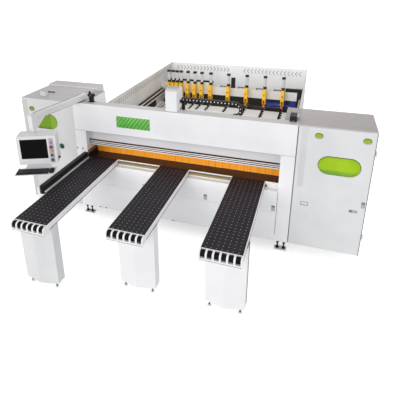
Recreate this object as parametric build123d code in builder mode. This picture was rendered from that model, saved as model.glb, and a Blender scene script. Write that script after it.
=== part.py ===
from build123d import *
import os
from math import cos, pi, radians, sin, tan

# Driving dimensions in millimetres.
# X runs along the cut, Y from the operator to the rear, Z up from the floor.
table_height = 995.0
front_face = -1062.0
table_edge = -970.0
saw_line = -640.0
body_bottom = 155.0
beam_top = 1862.0
outer_left = -2490.0
outer_right = 2490.0
running_gap = 0.05

# Side counts that keep repeated round pieces light.
bolt_sides = 6
pin_sides = 8
bar_sides = 12
drum_sides = 12
roller_sides = 10
pad_sides = 4
pill_flats = 8

# Columns, gantry beam and cabinets.
opening_left = -1402.0
opening_right = 1408.0
column_width = 182.0
column_back = -393.0
column_wall = 8.0
fascia_bottom = 1438.0
fascia_back = -912.0
sheet = 4.0
left_cabinet_back = -115.0
right_cabinet_front = -1030.0
door_gap = 2.0

# Saw trough and machine table.
board = 40.0
table_under = table_height - board
trough_front = -930.0
trough_back = -430.0
trough_floor = 180.0
trough_wall = 12.0
trough_half = 2040.0
ledge_top = 915.0

# Air tables in front of the machine.
air_table_x = (-1167.0, -51.0, 1008.0)
air_table_front = (-2754.0, -2575.0, -2575.0)
air_table_leg = (-2645.0, -2345.0, -2332.0)
leg_x = (-1205.0, -54.0, 1008.0)
leg_half = 230.0
air_table_width = 444.0
air_top_width = 434.0
air_top_thickness = 8.0
nose_radius = 38.0
nose_reach = 29.0
nose_flats = 4
roller_radius = 34.5
axle_radius = 8.0
roller_count = 6
roller_slot = 52.0
nose_lip = 22.0
leg_bottom = 80.0

# Rear table, guards and pusher.
clamp_first = -1210.0
clamp_steps = (90, 90, 90, 150, 150, 150, 190, 370, 370, 360, 350)
clamp_slot = 64.0
rear_start = -428.0
rear_end = 1900.0
wheel_rail_end = 2325.0
guard_left_x = -1408.0
guard_right_x = 1535.0
guard_back_y = 2815.0
guard_sheet = 6.0
guard_bottom = 40.0
guard_top = 1652.0
pusher_front = 2095.0
pusher_back = 2255.0
pusher_bottom = 1180.0
pusher_top = 1350.0
jaw_pivot = (2075.0, 1090.0)
jaw_pin = 6.0

# Saw unit, drawn parked inside the left cabinet.
saw_x = -1600.0
main_blade_z = 740.0
main_blade_radius = 190.0
main_blade_teeth = 40
scoring_x = saw_x - 300.0
scoring_z = 748.0
scoring_radius = 90.0
scoring_teeth = 20
post_x = (saw_x - 360.0, saw_x + 250.0)

# Console on its arm.
arm_pivot = (-1465.0, -840.0)
arm_end = (-1638.0, -1909.0)
console_yaw = 23.6
console_origin = (-1513.0, -2045.0, 1338.0)
console_size = (488.0, 390.0, 195.0)
button_u = 180.0
estop_v = 237.0
push_v = 182.0
selector_v = (123.0, 58.0)

clamp_x = [clamp_first]
for step in clamp_steps:
    clamp_x.append(clamp_x[-1] + step)

os.makedirs("parts", exist_ok=True)


def slab(x, y, z, mode=Mode.ADD):
    """A plate that fills three spans."""
    with Locations(((x[0] + x[1]) / 2, (y[0] + y[1]) / 2, (z[0] + z[1]) / 2)):
        Box(x[1] - x[0], y[1] - y[0], z[1] - z[0], mode=mode)


def run_x(outline, x, mode=Mode.ADD):
    """A closed (y, z) outline drawn out between two X places."""
    with BuildSketch(Plane.YZ.offset(x[0])) as section:
        with BuildLine():
            Polyline(*outline, close=True)
        make_face()
    extrude(section.sketch, amount=x[1] - x[0], mode=mode)


def run_y(outline, y, mode=Mode.ADD):
    """A closed (x, z) outline drawn out between two Y places."""
    with BuildSketch(Plane.XZ.offset(-y[0])) as section:
        with BuildLine():
            Polyline(*outline, close=True)
        make_face()
    extrude(section.sketch, amount=y[0] - y[1], mode=mode)


def rounds(places, radius, sides, bore):
    """Circles at places, or regular polygons: inside the radius for bars, outside it for bores."""
    with Locations(*places):
        if sides == 0:
            Circle(radius)
        else:
            RegularPolygon(radius, sides, major_radius=not bore)


def rods_x(places, radius, x, mode=Mode.ADD, sides=0):
    """Bars along X at (y, z) places."""
    with BuildSketch(Plane.YZ.offset(x[0])) as section:
        rounds(places, radius, sides, mode == Mode.SUBTRACT)
    extrude(section.sketch, amount=x[1] - x[0], mode=mode)


def rods_y(places, radius, y, mode=Mode.ADD, sides=0):
    """Bars along Y at (x, z) places."""
    with BuildSketch(Plane.XZ.offset(-y[0])) as section:
        rounds(places, radius, sides, mode == Mode.SUBTRACT)
    extrude(section.sketch, amount=y[0] - y[1], mode=mode)


def rods_z(places, radius, z, mode=Mode.ADD, sides=0):
    """Upright bars at (x, y) places."""
    with BuildSketch(Plane.XY.offset(z[0])) as section:
        rounds(places, radius, sides, mode == Mode.SUBTRACT)
    extrude(section.sketch, amount=z[1] - z[0], mode=mode)


def pill_outline(place, length, height):
    """Corners of a long outline with round ends, each end drawn in short flats."""
    radius = height / 2
    reach = length / 2 - radius
    corners = []
    for end, first_turn in ((reach, -90), (-reach, 90)):
        for i in range(pill_flats + 1):
            turn = radians(first_turn + 180 * i / pill_flats)
            corners.append((place[0] + end + radius * cos(turn), place[1] + radius * sin(turn)))
    return corners


def pills_y(places, length, height, y, mode=Mode.ADD):
    """Long round-ended blocks along Y at (x, z) places."""
    with BuildSketch(Plane.XZ.offset(-y[0])) as section:
        for place in places:
            with BuildLine():
                Polyline(*pill_outline(place, length, height), close=True)
            make_face()
    extrude(section.sketch, amount=y[0] - y[1], mode=mode)


def save(piece, name, *seated):
    """Label a finished piece, with what is bolted on top of it, and write it."""
    whole = piece.part
    if seated:
        whole = Compound([*piece.part.solids(), *[solid for other in seated for solid in other.part.solids()]])
    whole.label = name
    export_step(whole, f"parts/{name}.step")


# Saw trough: a long U channel that carries the table and the saw rails.
with BuildPart() as base_trough:
    inner_front = trough_front + trough_wall
    inner_back = trough_back - trough_wall
    inner_floor = trough_floor + trough_wall
    run_x(
        [
            (trough_front, table_under),
            (trough_front, trough_floor),
            (trough_back, trough_floor),
            (trough_back, table_under),
            (inner_back, table_under),
            (inner_back, inner_floor),
            (inner_front, inner_floor),
            (inner_front, table_under),
        ],
        (-trough_half, trough_half),
    )
    end_height = 700
    slab((-trough_half, trough_wall - trough_half), (inner_front, inner_back), (inner_floor, end_height))
    slab((trough_half - trough_wall, trough_half), (inner_front, inner_back), (inner_floor, end_height))
    flange = (table_under - trough_wall, table_under)
    slab((opening_left, opening_right), (table_edge + 2, trough_front), flange)
    slab((opening_left, opening_right), (trough_back, trough_back + 30), flange)
save(base_trough, "base_trough")

# Front panels: ledge with upper panel, folded skirt, and the slotted sill between the air tables.
with BuildPart() as base_front_panels:
    panel_seam = 590
    skirt_fold = (front_face - 22, 442)
    panel_sheet = 12
    run_x(
        [
            (front_face, panel_seam + 2),
            (front_face + panel_sheet, panel_seam + 2),
            (front_face + panel_sheet, ledge_top - panel_sheet),
            (table_edge, ledge_top - panel_sheet),
            (table_edge, ledge_top),
            (front_face, ledge_top),
        ],
        (opening_left, opening_right),
    )
    run_x(
        [
            (front_face, panel_seam),
            skirt_fold,
            (front_face, body_bottom),
            (front_face + panel_sheet, body_bottom),
            (skirt_fold[0] + panel_sheet, skirt_fold[1]),
            (front_face + panel_sheet, panel_seam),
        ],
        (opening_left, opening_right),
    )
    half_table = air_table_width / 2
    sill_starts = [x + half_table + 2 for x in air_table_x]
    sill_ends = [x - half_table - 2 for x in air_table_x[1:]] + [opening_right]
    sill_front = table_edge - 14
    sill_back = table_edge - 0.5
    for start, end in zip(sill_starts, sill_ends):
        run_x(
            [
                (sill_back, table_height),
                (sill_front, table_height),
                (sill_front, table_height - 11),
                (sill_front + 9, table_height - 11),
                (sill_front + 9, table_height - 42),
                (sill_front, table_height - 42),
                (sill_front, ledge_top),
                (sill_back, ledge_top),
            ],
            (start, end),
        )
save(base_front_panels, "base_front_panels")


def column_body(x):
    """A hollow column with the trough window and the blade slot through it."""
    run_x(
        [
            (front_face, body_bottom),
            (column_back, body_bottom),
            (column_back, beam_top),
            (fascia_back, beam_top),
            (fascia_back, fascia_bottom),
            (front_face, fascia_bottom),
        ],
        x,
    )
    inside_x = (x[0] + column_wall, x[1] - column_wall)
    inside_back = column_back - column_wall
    shoulder = fascia_bottom - column_wall
    lower_y = (front_face + column_wall, inside_back)
    slab(inside_x, lower_y, (body_bottom + column_wall, shoulder), Mode.SUBTRACT)
    upper_front = fascia_back + column_wall
    slab(inside_x, (upper_front, inside_back), (shoulder, beam_top - column_wall), Mode.SUBTRACT)
    window = (trough_front - 15, trough_back + 15)
    slab(x, window, (trough_floor, table_under + 5), Mode.SUBTRACT)
    slab(x, (saw_line - 7, saw_line + 7), (table_under, 1110), Mode.SUBTRACT)


# The left column carries the pivot post of the console arm on its top.
pivot_radius = 30.0
pivot_flange = (58.0, 12.0)
pivot_cap = (42.0, 8.0)
arm_bottom = 1880.0
arm_top = 1955.0
with BuildPart() as column_left:
    column_body((opening_left - column_width, opening_left))
with BuildPart() as pivot_post:
    cap_low = arm_top + 2
    rods_z([arm_pivot], pivot_flange[0], (beam_top, beam_top + pivot_flange[1]), sides=drum_sides)
    rods_z([arm_pivot], pivot_radius, (beam_top, cap_low), sides=drum_sides)
    rods_z([arm_pivot], pivot_cap[0], (cap_low, cap_low + pivot_cap[1]), sides=drum_sides)
save(column_left, "column_left", pivot_post)

with BuildPart() as column_right:
    column_body((opening_right, opening_right + column_width))
save(column_right, "column_right")

# Levelling feet: bolted floor plates under the machine, studs with pads under the lighter frames.
plate_height = 16.0
plate_half = 45.0
machine_bolt = 12.0
pad_height = 12.0
pad_radius = 24.0
stud_radius = 9.0
with BuildPart() as levelling_feet:
    column_centres = (opening_left - column_width / 2, opening_right + column_width / 2)
    for centre in column_centres:
        for foot_y in (front_face + 55, column_back - 50):
            slab((centre - 80, centre + 80), (foot_y - plate_half, foot_y + plate_half), (0, plate_height))
            bolts = [(centre - 42, foot_y), (centre + 42, foot_y)]
            rods_z(bolts, machine_bolt, (plate_height, body_bottom), sides=bolt_sides)
    cabinet_feet = (
        (outer_left + 60, front_face + 60),
        (outer_left + 60, left_cabinet_back - 60),
        (opening_left - column_width - 70, left_cabinet_back - 60),
        (outer_right - 80, saw_line - 60),
        (outer_right - 80, column_back - 60),
    )
    for foot_x, foot_y in cabinet_feet:
        plate_x = (foot_x - plate_half, foot_x + plate_half)
        slab(plate_x, (foot_y - plate_half, foot_y + plate_half), (0, plate_height))
        rods_z([(foot_x, foot_y)], machine_bolt, (plate_height, body_bottom), sides=bolt_sides)
    leg_feet = []
    foot_half = leg_half - 51
    for centre, front in zip(leg_x, air_table_leg):
        leg_feet += [(centre - foot_half, front + 25), (centre + foot_half, front + 25)]
    rods_z(leg_feet, pad_radius, (0, pad_height), sides=bolt_sides)
    rods_z(leg_feet, stud_radius, (pad_height, leg_bottom), sides=bolt_sides)
    guard_feet = []
    for foot_y in (-200, 2600):
        guard_feet += [(guard_left_x + 30, foot_y), (guard_right_x - 30, foot_y)]
    for foot_x in (-500, 600):
        guard_feet.append((foot_x, guard_back_y - 30))
    rods_z(guard_feet, pad_radius, (0, pad_height), sides=pad_sides)
    rods_z(guard_feet, stud_radius, (pad_height, guard_bottom), sides=pad_sides)
save(levelling_feet, "levelling_feet")

# Machine table: front and rear board with the saw slot between them.
with BuildPart() as machine_table:
    table_x = (opening_left + 2, opening_right - 2)
    slab(table_x, (table_edge, saw_line - 5), (table_under, table_height))
    slab(table_x, (saw_line + 5, rear_start - 4), (table_under, table_height))
save(machine_table, "machine_table")

# Gantry: folded fascia box, recessed panel with shelf, rear tube with two lift cylinders, chain tray.
lift_x = (-900.0, 900.0)
lift_rod = 12.0
tube_y = (saw_line - 80, saw_line + 80)
tube_z = (1560.0, 1700.0)
panel_y = (front_face + 96, front_face + 106)
shelf_z = (1212.0, 1218.0)
tray_z = (1780.0, 1786.0)
with BuildPart() as gantry_beam:
    fascia_x = (opening_left - column_width, opening_right + column_width)
    fascia_wall = 6
    with BuildSketch(Plane.YZ.offset(fascia_x[0])):
        with Locations(((front_face + fascia_back) / 2, (fascia_bottom + beam_top) / 2)):
            fascia_depth = fascia_back - front_face
            fascia_height = beam_top - fascia_bottom
            RectangleRounded(fascia_depth, fascia_height, 8)
            inner_size = (fascia_depth - 2 * fascia_wall, fascia_height - 2 * fascia_wall)
            Rectangle(*inner_size, mode=Mode.SUBTRACT)
    extrude(amount=fascia_x[1] - fascia_x[0])
    span = (opening_left, opening_right)
    run_x(
        [
            (panel_y[0], fascia_bottom + 1),
            (panel_y[0], shelf_z[0]),
            (-770, shelf_z[0]),
            (-770, shelf_z[1]),
            (panel_y[1], shelf_z[1]),
            (panel_y[1], fascia_bottom + 1),
        ],
        span,
    )
    with BuildSketch(Plane.YZ.offset(span[0])):
        with Locations((saw_line, (tube_z[0] + tube_z[1]) / 2)):
            Rectangle(tube_y[1] - tube_y[0], tube_z[1] - tube_z[0])
            Rectangle(tube_y[1] - tube_y[0] - 16, tube_z[1] - tube_z[0] - 16, mode=Mode.SUBTRACT)
    extrude(amount=span[1] - span[0])
    lift_places = [(x, saw_line) for x in lift_x]
    rods_z(lift_places, 40, (1450, tube_z[0]), sides=bar_sides)
    rod_way = (1449, tube_z[0] + 9)
    rods_z(lift_places, lift_rod + running_gap, rod_way, Mode.SUBTRACT, sides=bar_sides)
    slab((40, 740), (fascia_back, -745), tray_z)
save(gantry_beam, "gantry_beam")

# Grooved aluminium profile along the lower edge of the recessed panel.
with BuildPart() as profile_rail:
    rail_back = panel_y[0]
    rail_front = rail_back - 20
    run_x(
        [
            (rail_back, 1262),
            (rail_front, 1262),
            (rail_front, 1250),
            (rail_front + 9, 1250),
            (rail_front + 9, 1240),
            (rail_front, 1240),
            (rail_front, 1224),
            (rail_front + 9, 1224),
            (rail_front + 9, 1214),
            (rail_front, 1214),
            (rail_front, 1200),
            (rail_back, 1200),
        ],
        (opening_left, opening_right),
    )
save(profile_rail, "profile_rail")

# Strip curtain: a header bar with tongues that hang down to the table.
with BuildPart() as strip_curtain:
    strip_count = 28
    strip_gap = 3
    strip_top = 1190.0
    strip_bottom = table_height + 5
    header_y = (-786.0, -776.0)
    strip_pitch = (opening_right - opening_left - 4) / strip_count
    slab((opening_left + 2, opening_right - 2), header_y, (strip_top, shelf_z[0]))
    with BuildSketch(Plane.XZ.offset(-header_y[0] - 4)) as tongues:
        with Locations(((opening_left + opening_right) / 2, (strip_top + strip_bottom) / 2)):
            with GridLocations(strip_pitch, 1, strip_count, 1):
                Rectangle(strip_pitch - strip_gap, strip_top - strip_bottom)
    extrude(tongues.sketch, amount=-3)
save(strip_curtain, "strip_curtain")

# Left cabinet: sheet housing open towards the saw, with two pill windows, a switch hole and a box on top.
switch_place = (-1852.0, 1132.0)
switch_shaft = 6.0
left_small_pill = (-2314.0, 1695.0)
left_big_pill = (-2131.0, 1510.0)
small_pill_size = (85.0, 65.0)
big_pill_size = (484.0, 240.0)
saw_opening_y = (trough_front - 15, trough_back + 15)
saw_opening_z = (175.0, 1110.0)
left_cabinet_x = (outer_left, opening_left - column_width)
with BuildPart() as left_cabinet:
    slab(left_cabinet_x, (front_face, left_cabinet_back), (body_bottom, beam_top))
    slab(left_cabinet_x, (left_cabinet_back - 230, left_cabinet_back), (beam_top, beam_top + 25))
    corners = left_cabinet.edges().filter_by(Axis.Z).group_by(Axis.X)[0]
    fillet(corners.filter_by(lambda edge: edge.length > 1000), radius=10)
    room_x = (left_cabinet_x[0] + sheet, left_cabinet_x[1] - sheet)
    room_y = (front_face + sheet, left_cabinet_back - sheet)
    slab(room_x, room_y, (body_bottom + sheet, beam_top - sheet), Mode.SUBTRACT)
    slab((room_x[1], left_cabinet_x[1]), saw_opening_y, saw_opening_z, Mode.SUBTRACT)
    front_wall = (front_face, front_face + sheet)
    pills_y([left_small_pill], *small_pill_size, front_wall, Mode.SUBTRACT)
    pills_y([left_big_pill], *big_pill_size, front_wall, Mode.SUBTRACT)
    rods_y([switch_place], switch_shaft + running_gap, front_wall, Mode.SUBTRACT, sides=pin_sides)
with BuildPart() as top_box:
    slab((-2247, -2155), (-905, -835), (beam_top, beam_top + 70))
save(left_cabinet, "left_cabinet", top_box)


def pill_tray(place, size, front, hollow):
    """A block behind a pill window with a round-ended pocket, or a plain plate against the sheet."""
    tray_depth = 26
    rim = 6
    floor = 3
    start = front + sheet
    back = front + tray_depth if hollow else start + floor
    across = (place[0] - size[0] / 2 - rim, place[0] + size[0] / 2 + rim)
    upright = (place[1] - size[1] / 2 - rim, place[1] + size[1] / 2 + rim)
    slab(across, (start, back), upright)
    if hollow:
        pills_y([place], *size, (start, back - floor), Mode.SUBTRACT)


with BuildPart() as left_inserts:
    pill_tray(left_small_pill, small_pill_size, front_face, hollow=False)
    pill_tray(left_big_pill, big_pill_size, front_face, hollow=True)
save(left_inserts, "left_inserts")

# Right cabinet: sheet housing, open in front, with the fixed halves of two barrel hinges.
right_cabinet_x = (opening_right + column_width, outer_right - 21)
hinge_axis = (outer_right - 10, right_cabinet_front - 1)
hinge_pin = 5.0
hinge_z = (400.0, 1560.0)
knuckle = 30.0
with BuildPart() as right_cabinet:
    slab(right_cabinet_x, (right_cabinet_front, column_back), (body_bottom, beam_top))
    right_room_x = (right_cabinet_x[0] + sheet, right_cabinet_x[1] - sheet)
    right_room_y = (right_cabinet_front, column_back - sheet)
    slab(right_room_x, right_room_y, (body_bottom + sheet, beam_top - sheet), Mode.SUBTRACT)
    slab((right_cabinet_x[0], right_room_x[0]), saw_opening_y, saw_opening_z, Mode.SUBTRACT)
    for low in hinge_z:
        fixed = (low + knuckle + 1, low + 2 * knuckle + 1)
        slab((hinge_axis[0] - 14, hinge_axis[0]), (right_cabinet_front, right_cabinet_front + 20), fixed)
        rods_z([hinge_axis], 10, fixed, sides=pin_sides)
        rods_z([hinge_axis], hinge_pin, (low - 1, fixed[0]), sides=pin_sides)
save(right_cabinet, "right_cabinet")

# Right door: a folded tray with two small pills and one big one, and a pocket for the paddle latch.
door_x = (right_cabinet_x[0] + 5, right_cabinet_x[1] - 1)
door_back = right_cabinet_front - door_gap
door_small_pills = [(1832.0, 1753.0), (2365.0, 1748.0)]
door_big_pill = (2099.0, 1381.0)
latch_place = (1746.0, 802.0)
latch_size = (84.0, 34.0)
latch_pin = 2.5
latch_axis = (front_face + 6, latch_place[1] + 14)
with BuildPart() as right_door:
    slab(door_x, (front_face, door_back), (body_bottom + 5, beam_top - 4))
    slab(
        (door_x[0] + sheet, door_x[1] - sheet),
        (front_face + sheet, door_back),
        (body_bottom + 5 + sheet, beam_top - 4 - sheet),
        Mode.SUBTRACT,
    )
    door_sheet = (front_face, front_face + sheet)
    slab((1634, 1702), (front_face, front_face + 1.5), (988, beam_top - 4), Mode.SUBTRACT)
    pills_y(door_small_pills, *small_pill_size, door_sheet, Mode.SUBTRACT)
    pills_y([door_big_pill], *big_pill_size, door_sheet, Mode.SUBTRACT)
    pocket_x = (latch_place[0] - latch_size[0] / 2 - 1, latch_place[0] + latch_size[0] / 2 + 1)
    pocket_z = (latch_place[1] - latch_size[1] / 2 - 2, latch_place[1] + latch_size[1] / 2 + 5)
    cup_back = front_face + 24
    slab(
        (pocket_x[0] - 3, pocket_x[1] + 3),
        (front_face + sheet, cup_back),
        (pocket_z[0] - 3, pocket_z[1] + 3),
    )
    slab(pocket_x, (front_face, cup_back - 3), pocket_z, Mode.SUBTRACT)
    rods_x([latch_axis], latch_pin, pocket_x, sides=pin_sides)
    for low in hinge_z:
        moving = (low, low + knuckle)
        slab((hinge_axis[0] - 14, hinge_axis[0]), (door_back - 14, door_back), moving)
        rods_z([hinge_axis], 10, moving, sides=pin_sides)
        rods_z([hinge_axis], hinge_pin + running_gap, moving, Mode.SUBTRACT, sides=pin_sides)
save(right_door, "right_door")

with BuildPart() as right_door_inserts:
    for place in door_small_pills:
        pill_tray(place, small_pill_size, front_face, hollow=False)
    pill_tray(door_big_pill, big_pill_size, front_face, hollow=True)
save(right_door_inserts, "right_door_inserts")

# Paddle latch hung on a pin across the door pocket.
with BuildPart() as door_latch:
    paddle_x = (latch_place[0] - latch_size[0] / 2, latch_place[0] + latch_size[0] / 2)
    paddle_low = latch_place[1] - latch_size[1] / 2
    slab(paddle_x, (front_face + 1, front_face + 6), (paddle_low, latch_axis[1]))
    rods_x([latch_axis], 5.5, paddle_x, sides=pin_sides)
    rods_x([latch_axis], latch_pin + running_gap, paddle_x, Mode.SUBTRACT, sides=pin_sides)
save(door_latch, "door_latch")

# Rotary main switch with a bar grip.
with BuildPart() as main_switch:
    knob_face = front_face - 0.5
    rods_y([switch_place], switch_shaft, (knob_face, front_face + 18), sides=pin_sides)
    rods_y([switch_place], 30, (knob_face - 12, knob_face), sides=drum_sides)
    with BuildSketch(Plane.XZ.offset(12 - knob_face)) as grip:
        with Locations(switch_place):
            Rectangle(16, 52)
    extrude(grip.sketch, amount=18)
save(main_switch, "main_switch")

# Hood on the gantry: flat front, arched top, short back skirt, open underneath.
hood_x = (-150.0, 20.0)
with BuildPart() as dust_hood:
    hood_front = front_face + 32
    hood_back = -790.0
    hood_shoulder = 2125.0
    hood_wall = 4.0
    with BuildSketch(Plane.YZ.offset(hood_x[0])):
        with BuildLine():
            Polyline(
                (hood_front, hood_shoulder),
                (hood_front, beam_top),
                (fascia_back, beam_top),
                (fascia_back, 1995),
                (hood_back, 1995),
                (hood_back, hood_shoulder),
            )
            ThreePointArc((hood_back, hood_shoulder), (-895, 2182), (hood_front, hood_shoulder))
        make_face()
    extrude(amount=hood_x[1] - hood_x[0])
    fillet(dust_hood.edges().filter_by(Axis.Z).group_by(Axis.Y)[0], radius=18)
    slab(
        (hood_x[0] + hood_wall, hood_x[1] - hood_wall),
        (hood_front + hood_wall + 16, fascia_back - hood_wall),
        (beam_top, hood_shoulder),
        Mode.SUBTRACT,
    )
    slab(
        (hood_x[0] + hood_wall, hood_x[1] - hood_wall),
        (fascia_back - hood_wall, hood_back - hood_wall),
        (1995, hood_shoulder),
        Mode.SUBTRACT,
    )
save(dust_hood, "dust_hood")

# Cable chain: upper run of links, half-round bend, lower run on its tray, end plate beside the hood.
chain_y = -800.0
chain_height = 42.0
chain_widths = (60.0, 50.0)
chain_pitch = 48.5
chain_links = 15
chain_start = hood_x[1]
chain_low = tray_z[1] + chain_height / 2
chain_high = 1980.0
with BuildPart() as drag_chain:
    bend_radius = (chain_high - chain_low) / 2
    bend_x = chain_start + chain_links * chain_pitch
    bend_links = 6
    bend_length = 2 * bend_radius * tan(pi / 2 / bend_links)
    for i in range(chain_links):
        with Locations((chain_start + (i + 0.5) * chain_pitch, chain_y, chain_high)):
            Box(chain_pitch, chain_widths[i % 2], chain_height)
    for i in range(bend_links):
        turn = 180 * (i + 0.5) / bend_links
        x = bend_x + bend_radius * sin(radians(turn))
        z = (chain_high + chain_low) / 2 + bend_radius * cos(radians(turn))
        with Locations(Location((x, chain_y, z), (0, turn, 0))):
            Box(bend_length, chain_widths[(i + 1) % 2], chain_height)
    with Locations(((chain_start + bend_x) / 2, chain_y, chain_low)):
        Box(bend_x - chain_start, chain_widths[0], chain_height)
    slab((chain_start, chain_start + 34), (chain_y - 24, chain_y + 24), (chain_low, chain_high))
save(drag_chain, "drag_chain")

# Air service unit: manifold block with two bowls and a shut-off knob.
with BuildPart() as air_service_unit:
    unit_x = (-1367.0, -1282.0)
    unit_y = (-975.0, -920.0)
    slab((unit_x[0], unit_x[1]), unit_y, (beam_top, beam_top + 8))
    slab((unit_x[0] + 10, unit_x[1] - 10), (-956, -948), (beam_top + 8, 1960))
    slab(unit_x, unit_y, (1945, 1982))
    bowls = [(unit_x[0] + 21, -948), (unit_x[1] - 21, -948)]
    rods_z(bowls, 19, (1884, 1945), sides=bar_sides)
    rods_z(bowls[:1], 17, (1982, 2005), sides=bar_sides)
save(air_service_unit, "air_service_unit")

# Saddle bracket on the right column, arched underneath.
with BuildPart() as beam_end_bracket:
    bracket_x = (1471.0, 1554.0)
    bracket_top = beam_top + 70
    arch_top = beam_top + 20
    leg_width = 16
    run_y(
        [
            (bracket_x[0], beam_top),
            (bracket_x[0], bracket_top),
            (bracket_x[1], bracket_top),
            (bracket_x[1], beam_top),
            (bracket_x[1] - leg_width, beam_top),
            (bracket_x[1] - leg_width - 8, arch_top),
            (bracket_x[0] + leg_width + 8, arch_top),
            (bracket_x[0] + leg_width, beam_top),
        ],
        (-955, -800),
    )
save(beam_end_bracket, "beam_end_bracket")

# Linear rails and drive rack on the trough floor.
rail_y = (-850.0, -510.0)
rail_top = inner_floor + 28
with BuildPart() as saw_guides:
    for y in rail_y:
        run_x(
            [
                (y - 15, inner_floor),
                (y + 15, inner_floor),
                (y + 15, inner_floor + 9),
                (y + 9, inner_floor + 15),
                (y + 15, inner_floor + 21),
                (y + 15, rail_top),
                (y - 15, rail_top),
                (y - 15, inner_floor + 21),
                (y - 9, inner_floor + 15),
                (y - 15, inner_floor + 9),
            ],
            (-2020, 2020),
        )
    slab((-2020, 2020), (-700, -670), (inner_floor, inner_floor + 24))
save(saw_guides, "saw_guides")

# Saw carriage: base plate on four bearing blocks, with two lift posts.
plate_bottom = rail_top + 15
plate_top = plate_bottom + 20
lift_post = 28.0
post_y = -898.0
with BuildPart() as saw_carriage:
    slab((saw_x - 400, saw_x + 300), (-914, -470), (plate_bottom, plate_top))
    for y in rail_y:
        for block_x in (saw_x - 300, saw_x + 200):
            block = (block_x - 55, block_x + 55)
            slab(block, (y - 36, y + 36), (inner_floor + 6, plate_bottom))
            slab(block, (y - 16, y + 16), (inner_floor + 6, rail_top + 1), Mode.SUBTRACT)
    for x in post_x:
        half_post = lift_post / 2
        slab((x - half_post, x + half_post), (post_y - half_post, post_y + half_post), (plate_top, 905))
save(saw_carriage, "saw_carriage")

# Saw lift: back plate with guide shoes, belt guards, motors and arbor housings.
main_arbor = 17.5
scoring_arbor = 12.5
lift_back_y = (-880.0, -864.0)
guard_y = (-864.0, -806.0)
with BuildPart() as saw_lift:
    slab((saw_x - 400, saw_x + 290), lift_back_y, (300, 780))
    for x in post_x:
        for low in (330, 690):
            shoe = (low, low + 80)
            slab((x - 34, x + 34), (post_y - 10, lift_back_y[0]), shoe)
            slab((x - 14.6, x + 14.6), (post_y - 10, post_y + 14.6), shoe, Mode.SUBTRACT)
    belts = (
        (saw_x, 62, 378, main_blade_z - 20),
        (scoring_x, 46, 545, scoring_z - 10),
    )
    for x, half, low, high in belts:
        slab((x - half, x + half), guard_y, (low, high))
        rods_y([(x, low), (x, high)], half, guard_y, sides=pin_sides)
    rods_y([(saw_x, 378)], 112, (guard_y[1], -470), sides=bar_sides)
    rods_y([(scoring_x, 545)], 74, (guard_y[1], -600), sides=bar_sides)
    arbors = (
        ((saw_x, main_blade_z), 40, main_arbor),
        ((scoring_x, scoring_z), 34, scoring_arbor),
    )
    bore_y = (-800, -652)
    for place, housing, arbor in arbors:
        rods_y([place], housing, (guard_y[1], bore_y[1]), sides=bar_sides)
        rods_y([place], arbor + running_gap, bore_y, Mode.SUBTRACT, sides=bar_sides)
save(saw_lift, "saw_lift")


def saw_blade(place, tip, teeth, arbor):
    """A toothed disc on its arbor with a flange on each side and a nut."""
    root = tip - 11
    kerf = 4.4
    step = 2 * pi / teeth
    points = []
    for i in range(teeth):
        for share, radius in ((0.0, tip), (0.3, root)):
            angle = (i + share) * step
            points.append((place[0] + radius * sin(angle), place[1] + radius * cos(angle)))
    run_y(points, (saw_line - kerf / 2, saw_line + kerf / 2))
    rods_y([place], arbor, (-798, saw_line + 24), sides=bar_sides)
    rods_y([place], tip * 0.32, (saw_line - 10, saw_line + 9), sides=drum_sides)
    with BuildSketch(Plane.XZ.offset(-saw_line - 9)) as nut:
        with Locations(place):
            RegularPolygon(arbor + 7, 6)
    extrude(nut.sketch, amount=-10)


with BuildPart() as main_blade:
    saw_blade((saw_x, main_blade_z), main_blade_radius, main_blade_teeth, main_arbor)
save(main_blade, "main_blade")

with BuildPart() as scoring_blade:
    saw_blade((scoring_x, scoring_z), scoring_radius, scoring_teeth, scoring_arbor)
save(scoring_blade, "scoring_blade")

# Pressure beam: two box sections joined over the blade groove, hung on two rods.
pressure_y = (saw_line - 115, saw_line + 115)
pressure_z = (1120.0, 1400.0)
with BuildPart() as pressure_beam:
    pressure_x = (opening_left + 6, opening_right - 6)
    groove = 8
    groove_top = pressure_z[0] + 120
    with BuildSketch(Plane.YZ.offset(pressure_x[0])):
        with BuildLine():
            Polyline(
                (pressure_y[0], pressure_z[0]),
                (saw_line - groove, pressure_z[0]),
                (saw_line - groove, groove_top),
                (saw_line + groove, groove_top),
                (saw_line + groove, pressure_z[0]),
                (pressure_y[1], pressure_z[0]),
                (pressure_y[1], pressure_z[1]),
                (pressure_y[0], pressure_z[1]),
                close=True,
            )
        make_face()
        cell_centre = (groove + 115) / 2
        with Locations(
            (saw_line - cell_centre, (pressure_z[0] + pressure_z[1]) / 2),
            (saw_line + cell_centre, (pressure_z[0] + pressure_z[1]) / 2),
        ):
            Rectangle(107 - 16, pressure_z[1] - pressure_z[0] - 16, mode=Mode.SUBTRACT)
    extrude(amount=pressure_x[1] - pressure_x[0])
    rods_z(lift_places, lift_rod, (pressure_z[1], 1685), sides=bar_sides)
save(pressure_beam, "pressure_beam")


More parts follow.
